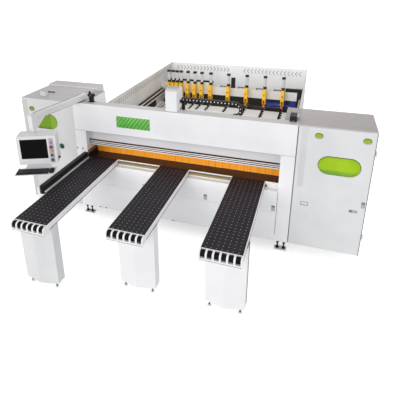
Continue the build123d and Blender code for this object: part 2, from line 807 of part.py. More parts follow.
def air_table_box(centre, front):
    """A tray for the black top, with a stepped side and a slotted round nose for the rollers."""
    half = air_table_width / 2
    back = table_edge - 2
    axle_y = front - nose_reach
    axle_z = table_height - nose_radius
    turns = [radians(90 * i / nose_flats) for i in range(nose_flats + 1)]
    nose = [(axle_y - nose_radius * sin(turn), axle_z + nose_radius * cos(turn)) for turn in turns]
    chin = [
        (axle_y - nose_radius, axle_z - 30),
        (axle_y - 28, ledge_top - nose_lip),
        (front + 40, ledge_top),
    ]
    side_outline = [(back, ledge_top), (back, table_height)] + nose + chin
    run_x(side_outline, (centre - half, centre + half))
    rim = (centre - air_top_width / 2 - 0.5, centre + air_top_width / 2 + 0.5)
    well = (rim[0] + 6, rim[1] - 6)
    seat = table_height - air_top_thickness
    slab(rim, (front, back), (seat, table_height), Mode.SUBTRACT)
    slab(well, (front + 12, back - 6), (ledge_top + 4, seat), Mode.SUBTRACT)
    step_top = ledge_top + 0.6 * (table_height - ledge_top)
    for side_x in (centre - half, centre + half - 2):
        slab((side_x, side_x + 2), (front, back), (ledge_top, step_top), Mode.SUBTRACT)
    for x in roller_places(centre):
        slot = (x - roller_slot / 2, x + roller_slot / 2)
        slab(slot, (front - 70, front + 8), (axle_z - roller_radius - 2, table_height), Mode.SUBTRACT)
        rods_x([(axle_y, axle_z)], axle_radius, slot, sides=bolt_sides)


def roller_places(centre):
    """Centres of the nose rollers of one table."""
    pitch = (air_table_width - 8) / roller_count
    return [centre + (i - (roller_count - 1) / 2) * pitch for i in range(roller_count)]


def nose_rollers(centre, front):
    """Six sleeves on the nose axle."""
    place = (front - nose_reach, table_height - nose_radius)
    for x in roller_places(centre):
        sleeve = (x - roller_slot / 2 + 1.5, x + roller_slot / 2 - 1.5)
        rods_x([place], roller_radius, sleeve, sides=roller_sides)
        rods_x([place], axle_radius + running_gap, sleeve, Mode.SUBTRACT, sides=bolt_sides)


def table_leg(centre, front):
    """A hollow leg with a folded prow in front."""
    prow = 50
    depth = 130
    wall = 5
    outer = [
        (centre - leg_half, front),
        (centre, front - prow),
        (centre + leg_half, front),
        (centre + leg_half, front + depth),
        (centre - leg_half, front + depth),
    ]
    inner = [
        (centre - leg_half + wall, front + wall),
        (centre, front - prow + wall),
        (centre + leg_half - wall, front + wall),
        (centre + leg_half - wall, front + depth - wall),
        (centre - leg_half + wall, front + depth - wall),
    ]
    with BuildSketch(Plane.XY.offset(leg_bottom)) as plan:
        with BuildLine():
            Polyline(*outer, close=True)
        make_face()
    extrude(plan.sketch, amount=ledge_top - leg_bottom)
    with BuildSketch(Plane.XY.offset(leg_bottom + wall)) as room:
        with BuildLine():
            Polyline(*inner, close=True)
        make_face()
    extrude(room.sketch, amount=ledge_top - leg_bottom - wall, mode=Mode.SUBTRACT)


# Air tables: black top plate, tray box, nose rollers and leg. The left box also carries the fence.
fence_y = (-2168.0, front_face - 4)
fence_x = (-1460.0, -1400.0)
fence_top = 1095.0
carrier_top = 984.0
for index, (centre, front) in enumerate(zip(air_table_x, air_table_front), start=1):
    with BuildPart() as table_top:
        half_top = air_top_width / 2
        seat = table_height - air_top_thickness
        slab((centre - half_top, centre + half_top), (front, table_edge - 2), (seat, table_height))
    save(table_top, f"table_top_{index}")

    with BuildPart() as table_box:
        air_table_box(centre, front)
        if index == 1:
            carrier_left = fence_x[0] - 35
            box_left = centre - air_table_width / 2
            run_y(
                [
                    (carrier_left, ledge_top),
                    (box_left + 2, ledge_top),
                    (box_left + 2, 940),
                    (box_left - 1, carrier_top),
                    (fence_x[0] - 2, carrier_top),
                    (fence_x[0] - 2, 1075),
                    (carrier_left, 1075),
                ],
                fence_y,
            )
    save(table_box, f"table_box_{index}")

    with BuildPart() as rollers:
        nose_rollers(centre, front)
    save(rollers, f"nose_rollers_{index}")

    with BuildPart() as leg:
        table_leg(leg_x[index - 1], air_table_leg[index - 1])
    save(leg, f"table_leg_{index}")

# Squaring fence: an upright bar with bevelled corners at its front end.
with BuildPart() as squaring_fence:
    bevel = 30
    with BuildSketch(Plane.XY.offset(carrier_top)):
        with BuildLine():
            Polyline(
                (fence_x[0], fence_y[1]),
                (fence_x[1], fence_y[1]),
                (fence_x[1], fence_y[0] + bevel),
                (fence_x[1] - bevel, fence_y[0]),
                (fence_x[0] + bevel / 2, fence_y[0]),
                (fence_x[0], fence_y[0] + bevel / 2),
                close=True,
            )
        make_face()
    extrude(amount=fence_top - carrier_top)
save(squaring_fence, "squaring_fence")

# Side beams that carry the pusher rails.
beam_z = (1140.0, 1230.0)
rail_height = 28.0
left_beam_x = (guard_left_x, guard_left_x + 74)
right_beam_x = (guard_right_x - 74, guard_right_x)


def side_beam(x):
    """A square tube with a rail along its top."""
    with BuildSketch(Plane.XZ.offset(-column_back)) as tube:
        with Locations(((x[0] + x[1]) / 2, (beam_z[0] + beam_z[1]) / 2)):
            Rectangle(x[1] - x[0], beam_z[1] - beam_z[0])
            Rectangle(x[1] - x[0] - 12, beam_z[1] - beam_z[0] - 12, mode=Mode.SUBTRACT)
    extrude(tube.sketch, amount=column_back - guard_back_y)
    middle = (x[0] + x[1]) / 2
    rail_span = (column_back + 20, guard_back_y - 20)
    slab((middle - 15, middle + 15), rail_span, (beam_z[1], beam_z[1] + rail_height))


with BuildPart() as side_beams:
    side_beam(left_beam_x)
    side_beam(right_beam_x)
save(side_beams, "side_beams")

# Cross tubes under the rear table.
plate_top_z = 993.0
plate_under = 957.0
with BuildPart() as rear_crossbeams:
    for beam_y in (700.0, 1860.0, 2240.0):
        with BuildSketch(Plane.YZ.offset(guard_left_x)) as tube:
            with Locations((beam_y, plate_under - 40)):
                Rectangle(60, 80)
                Rectangle(50, 70, mode=Mode.SUBTRACT)
        extrude(tube.sketch, amount=guard_right_x - guard_left_x)
save(rear_crossbeams, "rear_crossbeams")

# Rear table: folded channel plates between the clamp slots.
with BuildPart() as rear_table_plates:
    slot_edges = [guard_left_x + 8]
    for x in clamp_x:
        slot_edges += [x - clamp_slot / 2, x + clamp_slot / 2]
    slot_edges.append(opening_right - 8)
    for left, right in zip(slot_edges[0::2], slot_edges[1::2]):
        run_y(
            [
                (left, plate_under),
                (left, plate_top_z),
                (right, plate_top_z),
                (right, plate_under),
                (right - 3, plate_under),
                (right - 3, plate_top_z - 3),
                (left + 3, plate_top_z - 3),
                (left + 3, plate_under),
            ],
            (rear_start, rear_end),
        )
save(rear_table_plates, "rear_table_plates")

# Wheel rails: one black bar beside each clamp slot.
with BuildPart() as wheel_rails:
    for x in clamp_x:
        slab((x + 14, x + 28), (rear_start + 4, wheel_rail_end), (plate_under, plate_top_z - 6))
save(wheel_rails, "wheel_rails")

# Guards: upright sheets with folded top and bottom flanges.
guard_lip = 2.0
lip_height = 8.0
guard_flange = 60.0


def side_guard(inner, way):
    """A side guard whose flanges fold inwards along the given way."""
    outer = inner - way * guard_sheet
    flange_end = inner + way * guard_flange
    lip_end = inner + way * guard_lip
    run_y(
        [
            (outer, guard_bottom),
            (flange_end, guard_bottom),
            (flange_end, guard_bottom + guard_sheet),
            (inner, guard_bottom + guard_sheet),
            (inner, guard_top - lip_height),
            (lip_end, guard_top - lip_height),
            (lip_end, guard_top),
            (outer, guard_top),
        ],
        (column_back + 5, guard_back_y),
    )


with BuildPart() as guard_left:
    side_guard(guard_left_x, 1)
save(guard_left, "guard_left")

with BuildPart() as guard_right:
    side_guard(guard_right_x, -1)
save(guard_right, "guard_right")

with BuildPart() as guard_back:
    corner = guard_flange + 1
    back_sheet = (guard_back_y, guard_back_y + guard_sheet)
    run_x(
        [
            (back_sheet[1], guard_bottom),
            (back_sheet[1], guard_top),
            (guard_back_y - guard_lip, guard_top),
            (guard_back_y - guard_lip, guard_top - lip_height),
            (guard_back_y, guard_top - lip_height),
            (guard_back_y, guard_bottom + guard_sheet),
            (guard_back_y - guard_flange, guard_bottom + guard_sheet),
            (guard_back_y - guard_flange, guard_bottom),
        ],
        (guard_left_x + corner, guard_right_x - corner),
    )
    slab((guard_left_x - guard_sheet, guard_left_x + corner), back_sheet, (guard_bottom, guard_top))
    slab((guard_right_x - corner, guard_right_x + guard_sheet), back_sheet, (guard_bottom, guard_top))
save(guard_back, "guard_back")

# Pusher: box beam with a carriage on each rail, and on it trunking, valve holders, a switch box and a duct.
pusher_x = (guard_left_x + 80, guard_right_x - 120)
with BuildPart() as pusher_beam:
    with BuildSketch(Plane.YZ.offset(pusher_x[0])):
        with Locations(((pusher_front + pusher_back) / 2, (pusher_bottom + pusher_top) / 2)):
            Rectangle(pusher_back - pusher_front, pusher_top - pusher_bottom)
            hollow = (pusher_back - pusher_front - 12, pusher_top - pusher_bottom - 12)
            Rectangle(*hollow, mode=Mode.SUBTRACT)
    extrude(amount=pusher_x[1] - pusher_x[0])
    carriage_y = (pusher_front - 35, pusher_back + 45)
    carriage_bottom = beam_z[1] + 4
    carriages = (
        (left_beam_x, (guard_left_x + 6, pusher_x[0])),
        (right_beam_x, (pusher_x[1], guard_right_x - 6)),
    )
    for beam_x, block_x in carriages:
        middle = (beam_x[0] + beam_x[1]) / 2
        slab(block_x, carriage_y, (carriage_bottom, pusher_top))
        groove_z = (carriage_bottom, beam_z[1] + rail_height + 1.5)
        slab((middle - 16.5, middle + 16.5), carriage_y, groove_z, Mode.SUBTRACT)
    trunk_y = (pusher_front + 3, pusher_front + 35)
    slab((clamp_x[0] - 40, clamp_x[7] + 40), trunk_y, (pusher_top, pusher_top + 80))
    holder_top = pusher_top + 32
    holder_under = pusher_top + 20
    for x in clamp_x[8:]:
        run_y(
            [
                (x - 180, pusher_top),
                (x - 180, holder_top),
                (x - 34, holder_top),
                (x - 34, pusher_top),
                (x - 50, pusher_top),
                (x - 50, holder_under),
                (x - 160, holder_under),
                (x - 160, pusher_top),
            ],
            (trunk_y[0], trunk_y[0] + 12),
        )
    slab((111, 190), (pusher_front + 5, pusher_front + 55), (pusher_top, pusher_top + 210))
    slab((1190, 1500), (pusher_front + 15, pusher_front + 75), (pusher_top, pusher_top + 62))
save(pusher_beam, "pusher_beam")

# Clamp bodies: deep head with a beak in front, two cheeks, and a web behind the jaw pin down to the finger.
clamp_back = pusher_front
clamp_nose = 1950.0
clamp_top = 1400.0
beak_bottom = 1112.0
cheek_bottom = 1065.0
cheek_top = 1190.0
finger_top = 990.0
with BuildPart() as clamp_bodies:
    for x in clamp_x:
        side_view = [
            (clamp_back, cheek_bottom),
            (clamp_back, clamp_top),
            (clamp_nose, clamp_top),
            (clamp_nose, beak_bottom),
            (2058, cheek_top - 5),
            (2058, cheek_bottom),
        ]
        run_x(side_view, (x - 30, x + 30))
        slab((x - 22, x + 22), (clamp_nose, clamp_back), (cheek_bottom, cheek_top), Mode.SUBTRACT)
        slab((x - 5, x + 5), (clamp_back - 12, clamp_back), (finger_top, cheek_top))
        rods_x([jaw_pivot], jaw_pin, (x - 22, x + 22), sides=bolt_sides)
save(clamp_bodies, "clamp_bodies")

# Fixed lower fingers of the clamps, with a bevelled tip.
with BuildPart() as clamp_fingers:
    finger_bottom = finger_top - 28
    finger_tip = 1935
    for x in clamp_x:
        run_x(
            [
                (clamp_back, finger_top),
                (finger_tip, finger_top),
                (finger_tip + 25, finger_bottom),
                (clamp_back, finger_bottom),
            ],
            (x - 22, x + 10),
        )
save(clamp_fingers, "clamp_fingers")

# Clamp jaws: levers on the clamp pins, forked at the rear to straddle the webs.
with BuildPart() as clamp_jaws:
    jaw_tip = 1940
    jaw_rear = jaw_pivot[0] + 14
    fork_start = jaw_pivot[0] - 11
    for x in clamp_x:
        lever = (x - 20, x + 20)
        run_x(
            [
                (jaw_rear, jaw_pivot[1] + 20),
                (jaw_tip, 1075),
                (jaw_tip, 1050),
                (2010, 1056),
                (jaw_rear, jaw_pivot[1] - 14),
            ],
            lever,
        )
        slab((x - 6, x + 6), (fork_start, jaw_rear), (jaw_pivot[1] - 24, jaw_pivot[1] + 24), Mode.SUBTRACT)
        rods_x([jaw_pivot], jaw_pin + running_gap, lever, Mode.SUBTRACT, sides=bolt_sides)
save(clamp_jaws, "clamp_jaws")

# Clamp cylinders standing on the clamp heads, with square end caps.
with BuildPart() as clamp_cylinders:
    cylinder_y = 2054
    cylinder_radius = 30
    cap_z = (1619, 1656)
    half_cap = 33
    rods_z([(x, cylinder_y) for x in clamp_x], cylinder_radius, (clamp_top, cap_z[0]), sides=pin_sides)
    for x in clamp_x:
        slab((x - half_cap, x + half_cap), (cylinder_y - half_cap, cylinder_y + half_cap), cap_z)
save(clamp_cylinders, "clamp_cylinders")

# Gear motor under the pusher beam: fan cover, motor, gearbox, coupling and brake housing.
with BuildPart() as pusher_motor:
    motor_centre = (2152, 1050)
    motor_radius = 50
    housing_bottom = motor_centre[1] - motor_radius
    rods_x([motor_centre], motor_radius, (823, 1130), sides=drum_sides)
    rods_x([motor_centre], motor_radius - 12, (800, 823), sides=drum_sides)
    slab((1130, 1206), (motor_centre[0] - 54, motor_centre[0] + 54), (housing_bottom, pusher_bottom))
    rods_x([motor_centre], 18, (1206, 1290), sides=pin_sides)
    slab((1290, 1400), (motor_centre[0] - 46, motor_centre[0] + 46), (housing_bottom + 10, pusher_bottom))
save(pusher_motor, "pusher_motor")

# Console arm: square tube from the pivot sleeve to a tapered hanging bracket, bored for the console post.
post_radius = 20.0
bracket_low = 1755.0
with BuildPart() as console_arm:
    arm_width = 70
    arm_wall = 4
    arm_height = arm_top - arm_bottom
    end_block = (-36, 32)
    run = Vector(arm_end[0] - arm_pivot[0], arm_end[1] - arm_pivot[1], 0)
    arm_plane = Plane(
        origin=(arm_pivot[0], arm_pivot[1], (arm_bottom + arm_top) / 2),
        x_dir=(-run.Y, run.X, 0),
        z_dir=(run.X, run.Y, 0),
    )
    with BuildSketch(arm_plane):
        Rectangle(arm_width, arm_height)
        Rectangle(arm_width - 2 * arm_wall, arm_height - 2 * arm_wall, mode=Mode.SUBTRACT)
    extrude(amount=run.length)
    hanging_plane = Plane(
        origin=(arm_end[0], arm_end[1], 0),
        x_dir=(run.X, run.Y, 0),
        z_dir=(run.Y, -run.X, 0),
    )
    with BuildSketch(hanging_plane):
        with BuildLine():
            Polyline(
                (end_block[0] - 154, arm_bottom),
                (end_block[0], arm_bottom),
                (end_block[0], arm_top),
                (end_block[1], arm_top),
                (end_block[1], bracket_low),
                (-end_block[1], bracket_low),
                close=True,
            )
        make_face()
    extrude(amount=arm_width / 2, both=True)
    sleeve = (beam_top + 14, arm_top)
    rods_z([arm_pivot], 50, sleeve, sides=drum_sides)
    rods_z([arm_pivot], pivot_radius + running_gap, sleeve, Mode.SUBTRACT, sides=drum_sides)
    rods_z([arm_end], post_radius + running_gap, (bracket_low, arm_top), Mode.SUBTRACT, sides=bar_sides)
save(console_arm, "console_arm")

# Console housing: hanging post, hollow monitor box, button strip, tray on a folded sheet.
yaw = radians(console_yaw)
across = (cos(yaw), sin(yaw), 0)
outward = (sin(yaw), -cos(yaw), 0)
console_face = Plane(origin=console_origin, x_dir=across, z_dir=outward)
estop_stem = 9.0
selector_stem = 6.0
screen_size = (335.0, 265.0)
screen_place = (-36.5, 214.5)
tray_place = (-35.0, 45.0)
tray_size = (480.0, 200.0)
tray_top = 1262.0
with BuildPart() as console_box:
    width, height, depth = console_size
    wall = 4
    with BuildSketch(console_face):
        with Locations((0, height / 2)):
            RectangleRounded(width, height, 16)
    extrude(amount=-depth)
    with BuildSketch(console_face.offset(-wall - 4)):
        with Locations((0, height / 2)):
            Rectangle(width - 2 * wall - 8, height - 2 * wall - 8)
    extrude(amount=2 * wall + 4 - depth, mode=Mode.SUBTRACT)
    with BuildSketch(console_face):
        with Locations(screen_place):
            Rectangle(*screen_size)
    extrude(amount=-4, mode=Mode.SUBTRACT)
    with BuildSketch(console_face):
        with Locations((184, 188)):
            Rectangle(58, 333)
    extrude(amount=-1, mode=Mode.SUBTRACT)
    with BuildSketch(console_face):
        with Locations((button_u, estop_v), (button_u, push_v)):
            RegularPolygon(estop_stem + running_gap, pin_sides, major_radius=False)
        with Locations(*[(button_u, v) for v in selector_v]):
            RegularPolygon(selector_stem + running_gap, pin_sides, major_radius=False)
    extrude(amount=-20, mode=Mode.SUBTRACT)
    with BuildSketch(console_face.offset(wall - depth)):
        with Locations((0, height / 2)):
            with GridLocations(60, 1, 4, 1):
                Rectangle(10, 120)
    extrude(amount=-wall, mode=Mode.SUBTRACT)
    post_top = console_origin[2] + height
    rods_z([arm_end], post_radius + 6, (post_top - wall, bracket_low - 3), sides=bar_sides)
    rods_z([arm_end], post_radius, (bracket_low - 3, arm_top + 2), sides=bar_sides)
    rods_z([arm_end], post_radius + 10, (arm_top + 2, arm_top + 9), sides=bar_sides)
    tray_plane = console_face.offset(tray_place[1] - tray_size[1] / 2)
    tray_low = tray_top - console_origin[2]
    with BuildSketch(tray_plane):
        with BuildLine():
            left = tray_place[0] - tray_size[0] / 2
            right = tray_place[0] + tray_size[0] / 2
            Polyline(
                (left, tray_low + 12),
                (left, tray_low - 4),
                (right, tray_low - 4),
                (right, tray_low + 12),
                (right - 4, tray_low + 12),
                (right - 4, tray_low),
                (left + 4, tray_low),
                (left + 4, tray_low + 12),
                close=True,
            )
        make_face()
    extrude(amount=tray_size[1])
    with BuildSketch(tray_plane.offset(25)):
        with BuildLine():
            Polyline((-200, tray_low), (-145, 0), (150, 0), (150, tray_low), close=True)
        make_face()
    extrude(amount=6)
save(console_box, "console_box")

with BuildPart() as console_screen:
    with BuildSketch(console_face.offset(-4)):
        with Locations(screen_place):
            Rectangle(screen_size[0] - 1, screen_size[1] - 1)
    extrude(amount=3)
save(console_screen, "console_screen")

# Keyboard and mouse on the tray.
keyboard_size = (385.0, 120.0)
keyboard_u = -67.5
mouse_size = (56.0, 100.0)
mouse_u = 168.0
with BuildPart() as keyboard_and_mouse:
    desk = Plane(origin=(console_origin[0], console_origin[1], tray_top), x_dir=across, z_dir=(0, 0, 1))
    desk_y = -tray_place[1] - 20
    with BuildSketch(desk):
        with Locations((keyboard_u, desk_y)):
            Rectangle(*keyboard_size)
    extrude(amount=18)
    with BuildSketch(desk) as mouse:
        with Locations((mouse_u, desk_y)):
            Rectangle(*mouse_size)
        chamfer(mouse.vertices(), length=18)
    extrude(amount=26)
save(keyboard_and_mouse, "keyboard_and_mouse")


def control(place, steps):
    """A stepped control on the console face, from (radius, sides, start, end) steps."""
    for radius, sides, start, end in steps:
        with BuildSketch(console_face.offset(start)) as disc:
            with Locations(place):
                RegularPolygon(radius, sides)
        extrude(disc.sketch, amount=end - start)


# Controls on the button strip.
with BuildPart() as estop_button:
    control(
        (button_u, estop_v),
        [(estop_stem, pin_sides, -16, 9), (20, drum_sides, 9, 18), (16, drum_sides, 18, 23)],
    )
save(estop_button, "estop_button")

with BuildPart() as yellow_button:
    control((button_u, push_v), [(estop_stem, pin_sides, -16, 6), (15, drum_sides, 6, 12)])
save(yellow_button, "yellow_button")

for index, v in enumerate(selector_v, start=1):
    with BuildPart() as selector:
        control((button_u, v), [(selector_stem, pin_sides, -16, 1), (15, drum_sides, 1, 9)])
        with BuildSketch(console_face.offset(9)) as lever:
            with Locations((button_u, v)):
                Rectangle(8, 28)
        extrude(lever.sketch, amount=10)
    save(selector, f"selector_{index}")
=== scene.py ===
"""Looks of a panel beam saw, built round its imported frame.

Sizes are in millimetres, as on a workshop drawing, and turned to metres where a mesh is made.
X runs along the cut, Y from the operator to the rear, Z up from the floor.
"""

import logging
import math
from abc import ABC, abstractmethod
from dataclasses import dataclass, replace
from enum import Enum
from typing import Any, ClassVar, Iterator, Sequence

import bmesh
import bpy
from mathutils import Matrix, Vector


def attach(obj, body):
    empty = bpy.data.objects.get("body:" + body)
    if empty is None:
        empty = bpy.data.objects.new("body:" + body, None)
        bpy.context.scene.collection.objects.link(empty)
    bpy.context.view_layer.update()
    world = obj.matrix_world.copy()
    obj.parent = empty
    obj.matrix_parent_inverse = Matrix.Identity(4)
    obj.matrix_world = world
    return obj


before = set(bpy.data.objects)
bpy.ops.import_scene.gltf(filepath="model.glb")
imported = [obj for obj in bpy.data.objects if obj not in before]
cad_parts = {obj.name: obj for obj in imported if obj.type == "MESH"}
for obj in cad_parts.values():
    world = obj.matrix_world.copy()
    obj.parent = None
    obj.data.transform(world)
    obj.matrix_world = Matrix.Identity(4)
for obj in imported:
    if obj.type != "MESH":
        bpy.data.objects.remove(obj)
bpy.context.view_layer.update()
MM = 0.001
FAR = 9000.0
SMEAR_MM = 90.0
COAT_ROUGHNESS = 0.08
SHARP_DEGREES = 38.0
log = logging.getLogger("beam_saw")

Point = Sequence[float]
Outline = Sequence[tuple[float, float]]
Span = tuple[float, float]
Colour = tuple[float, float, float, float]
Corner = bmesh.types.BMVert
Socket = bpy.types.NodeSocket
Tree = bpy.types.NodeTree


class Body(Enum):
    """The moving groups that pieces ride on."""

    FRAME = "frame"
    DOOR = "right_door"
    PUSHER = "pusher"
    CONSOLE = "console"
    ARM = "console_arm"


class Slot(Enum):
    """Material slots of the record, given with each new piece."""

    WHITE = "white_powder_coat"
    GREY = "grey_powder_coat"
    GREEN = "green_insert"
    PHENOLIC = "brown_phenolic"
    BLACK = "black_plastic"
    ALUMINIUM = "aluminium"
    ORANGE = "orange_strip"
    BLUE = "blue_motor"
    STEEL = "machined_steel"
    ZINC = "zinc_steel"
    RED = "red_plastic"


def linear(hex_colour: str) -> Colour:
    """Turns an sRGB hex colour to a linear one.

    Args:
        hex_colour: Six hex digits after a hash.

    Returns:
        Linear red, green, blue and full alpha.
    """
    parts = [int(hex_colour[i:i + 2], 16) / 255 for i in (1, 3, 5)]
    red, green, blue = [p / 12.92 if p <= 0.04045 else ((p + 0.055) / 1.055) ** 2.4 for p in parts]
    return red, green, blue, 1.0


def add_node(tree: Tree, kind: str, inputs: dict[Any, Any], **settings: Any) -> bpy.types.Node:
    """Adds one shader node with its settings and links.

    Args:
        tree: Node tree that takes the node.
        kind: Blender's type name of the node, after the "ShaderNode" that all share.
        inputs: Value or source socket of each named or numbered input.
        settings: Properties of the node itself.

    Returns:
        The new node.
    """
    made = tree.nodes.new("ShaderNode" + kind)
    for key, value in settings.items():
        setattr(made, key, value)
    for key, value in inputs.items():
        if isinstance(value, Socket):
            tree.links.new(value, made.inputs[key])
        else:
            made.inputs[key].default_value = value
    return made


@dataclass(frozen=True)
class Zone:
    """A block of space, in millimetres, with its own colour."""

    colour: str
    x: Span = (-FAR, FAR)
    y: Span = (-FAR, FAR)
    z: Span = (-FAR, FAR)

    def corner(self, end: int) -> list[float]:
        """Gives the lowest corner for 0 and the highest for 1, in metres."""
        return [span[end] * MM for span in (self.x, self.y, self.z)]


@dataclass(frozen=True)
class Canvas:
    """Node tree of one material, with the steps that finishes are drawn by.

    The place is the socket with the point on the surface, in metres, where a pattern needs one.
    """

    tree: Tree
    place: Socket | None = None

    def noise(self, size: float, detail: float, place: Socket | None = None) -> Socket:
        """Gives soft noise with features about that many millimetres across."""
        where = self.place if place is None else place
        inputs = {"Vector": where, "Scale": 1000.0 / size, "Detail": detail}
        return add_node(self.tree, "TexNoise", inputs).outputs["Fac"]

    def ramp(self, value: Socket, low: float, high: float, to: Span = (0.0, 1.0)) -> Socket:
        """Spreads the values from low to high over another range."""
        inputs = {
            "Value": value, "From Min": low, "From Max": high, "To Min": to[0], "To Max": to[1],
        }
        return add_node(self.tree, "MapRange", inputs).outputs["Result"]

    def mix(self, share: Socket, plain: Socket | Colour, other: Colour) -> Socket:
        """Turns one colour to another by a share from 0 to 1."""
        inputs = {0: share, 6: plain, 7: other}
        return add_node(self.tree, "Mix", inputs, data_type="RGBA").outputs[2]

    def step(self, operation: str, *values: Socket | float) -> Socket:
        """Does one step of arithmetic."""
        return add_node(self.tree, "Math", dict(enumerate(values)), operation=operation).outputs[0]

    def inside(self, zone: Zone) -> Socket:
        """Tells with 1 or 0 whether the surface lies in a block of space."""
        held = self.place
        for end, operation in enumerate(("MAXIMUM", "MINIMUM")):
            inputs = {0: held, 1: zone.corner(end)}
            held = add_node(self.tree, "VectorMath", inputs, operation=operation).outputs[0]
        away = add_node(self.tree, "VectorMath", {0: self.place, 1: held}, operation="DISTANCE")
        return self.step("LESS_THAN", away.outputs["Value"], 0.01 * MM)

    def seen(self) -> Socket:
        """Tells with 1 or 0 whether a ray comes from the camera, off a gloss or through glass."""
        path = add_node(self.tree, "LightPath", {}).outputs
        direct = self.step("MAXIMUM", path["Is Camera Ray"], path["Is Glossy Ray"])
        return self.step("MAXIMUM", direct, path["Is Transmission Ray"])


@dataclass(frozen=True)
class Finish:
    """A plain surface with cloudy colour and a fine grain, from which the other finishes are made.

    Grain, streaks and flecks are drawn coarser than real ones, so that they show.
    """

    name: str
    colour: str
    shade: str
    roughness: float
    metallic: float = 0.0
    coat: float = 0.0
    specular: float = 0.5
    grain_mm: float = 3.0
    grain_height_mm: float = 0.03
    cloud_mm: float = 500.0

    def material(self) -> bpy.types.Material:
        """Makes the material once and gives it again later.

        Returns:
            The finished node material.
        """
        known = bpy.data.materials.get(self.name)
        if known is not None:
            return known
        made = bpy.data.materials.new(self.name)
        made.use_nodes = True
        tree = made.node_tree
        shader = tree.nodes["Principled BSDF"]
        for name, value in (
            ("Metallic", self.metallic), ("Specular IOR Level", self.specular),
            ("Coat Weight", self.coat), ("Coat Roughness", COAT_ROUGHNESS),
        ):
            shader.inputs[name].default_value = value
        canvas = Canvas(tree, add_node(tree, "TexCoord", {}).outputs["Object"])
        tree.links.new(self.colouring(canvas), shader.inputs["Base Color"])
        tree.links.new(self.polish(canvas), shader.inputs["Roughness"])
        tree.links.new(self.relief(canvas), shader.inputs["Normal"])
        made.diffuse_color = linear(self.colour)
        return made

    def colouring(self, canvas: Canvas) -> Socket:
        """Mixes colour and shade in wide soft clouds."""
        cloud = canvas.ramp(canvas.noise(self.cloud_mm, 4.0), 0.38, 0.66)
        return canvas.mix(cloud, linear(self.colour), linear(self.shade))

    def polish(self, canvas: Canvas) -> Socket:
        """Varies the roughness a little, as handling and dust do."""
        spread = (self.roughness * 0.85, min(self.roughness * 1.2, 1.0))
        return canvas.ramp(canvas.noise(SMEAR_MM, 3.0), 0.3, 0.7, spread)

    def relief(self, canvas: Canvas) -> Socket:
        """Raises the fine grain."""
        grain = canvas.noise(self.grain_mm, 2.0)
        inputs = {"Height": grain, "Distance": self.grain_height_mm * MM, "Strength": 0.6}
        return add_node(canvas.tree, "Bump", inputs).outputs["Normal"]


@dataclass(frozen=True)
class PowderCoat(Finish):
    """Powder-coated sheet steel, sprayed and baked: an even satin skin with a faint orange peel.

    Faces that look up are painted greyer than the upright ones, as painted shade. Some blocks
    of space have other colours: painted shade, a painted reflection, and parts painted apart.
    """

    top: str = "#C2C0C0"
    zones: tuple[Zone, ...] = ()

    def colouring(self, canvas: Canvas) -> Socket:
        """Greys the upward faces as painted shade, and turns to each block's colour inside it."""
        upright = super().colouring(canvas)
        normal = add_node(canvas.tree, "NewGeometry", {}).outputs["Normal"]
        height = add_node(canvas.tree, "SeparateXYZ", {0: normal}).outputs["Z"]
        paint = canvas.mix(canvas.ramp(height, 0.55, 0.95), upright, linear(self.top))
        for zone in self.zones:
            paint = canvas.mix(canvas.inside(zone), paint, linear(zone.colour))
        return paint


@dataclass(frozen=True)
class Streaked(Finish):
    """A surface drawn, rolled, brushed or pressed in one direction, with streaks along it."""

    along: tuple[float, float, float] = (1.0, 0.0, 0.0)
    streak_mm: float = 4.0
    stretch: float = 60.0

    def colouring(self, canvas: Canvas) -> Socket:
        """Mixes colour and shade in long streaks."""
        squeeze = [1.0 - along * (1.0 - 1.0 / self.stretch) for along in self.along]
        drawn = add_node(canvas.tree, "Mapping", {"Vector": canvas.place, "Scale": squeeze})
        streak = canvas.noise(self.streak_mm, 3.0, drawn.outputs["Vector"])
        return canvas.mix(canvas.ramp(streak, 0.35, 0.65), linear(self.colour), linear(self.shade))


@dataclass(frozen=True)
class Speckled(Finish):
    """Pressed laminate with fine flecks of a second colour."""

    fleck: str = "#5A5460"
    fleck_mm: float = 7.0

    def colouring(self, canvas: Canvas) -> Socket:
        """Scatters flecks over the clouded ground."""
        ground = super().colouring(canvas)
        chosen = canvas.ramp(canvas.noise(self.fleck_mm, 2.0), 0.6, 0.75)
        return canvas.mix(chosen, ground, linear(self.fleck))


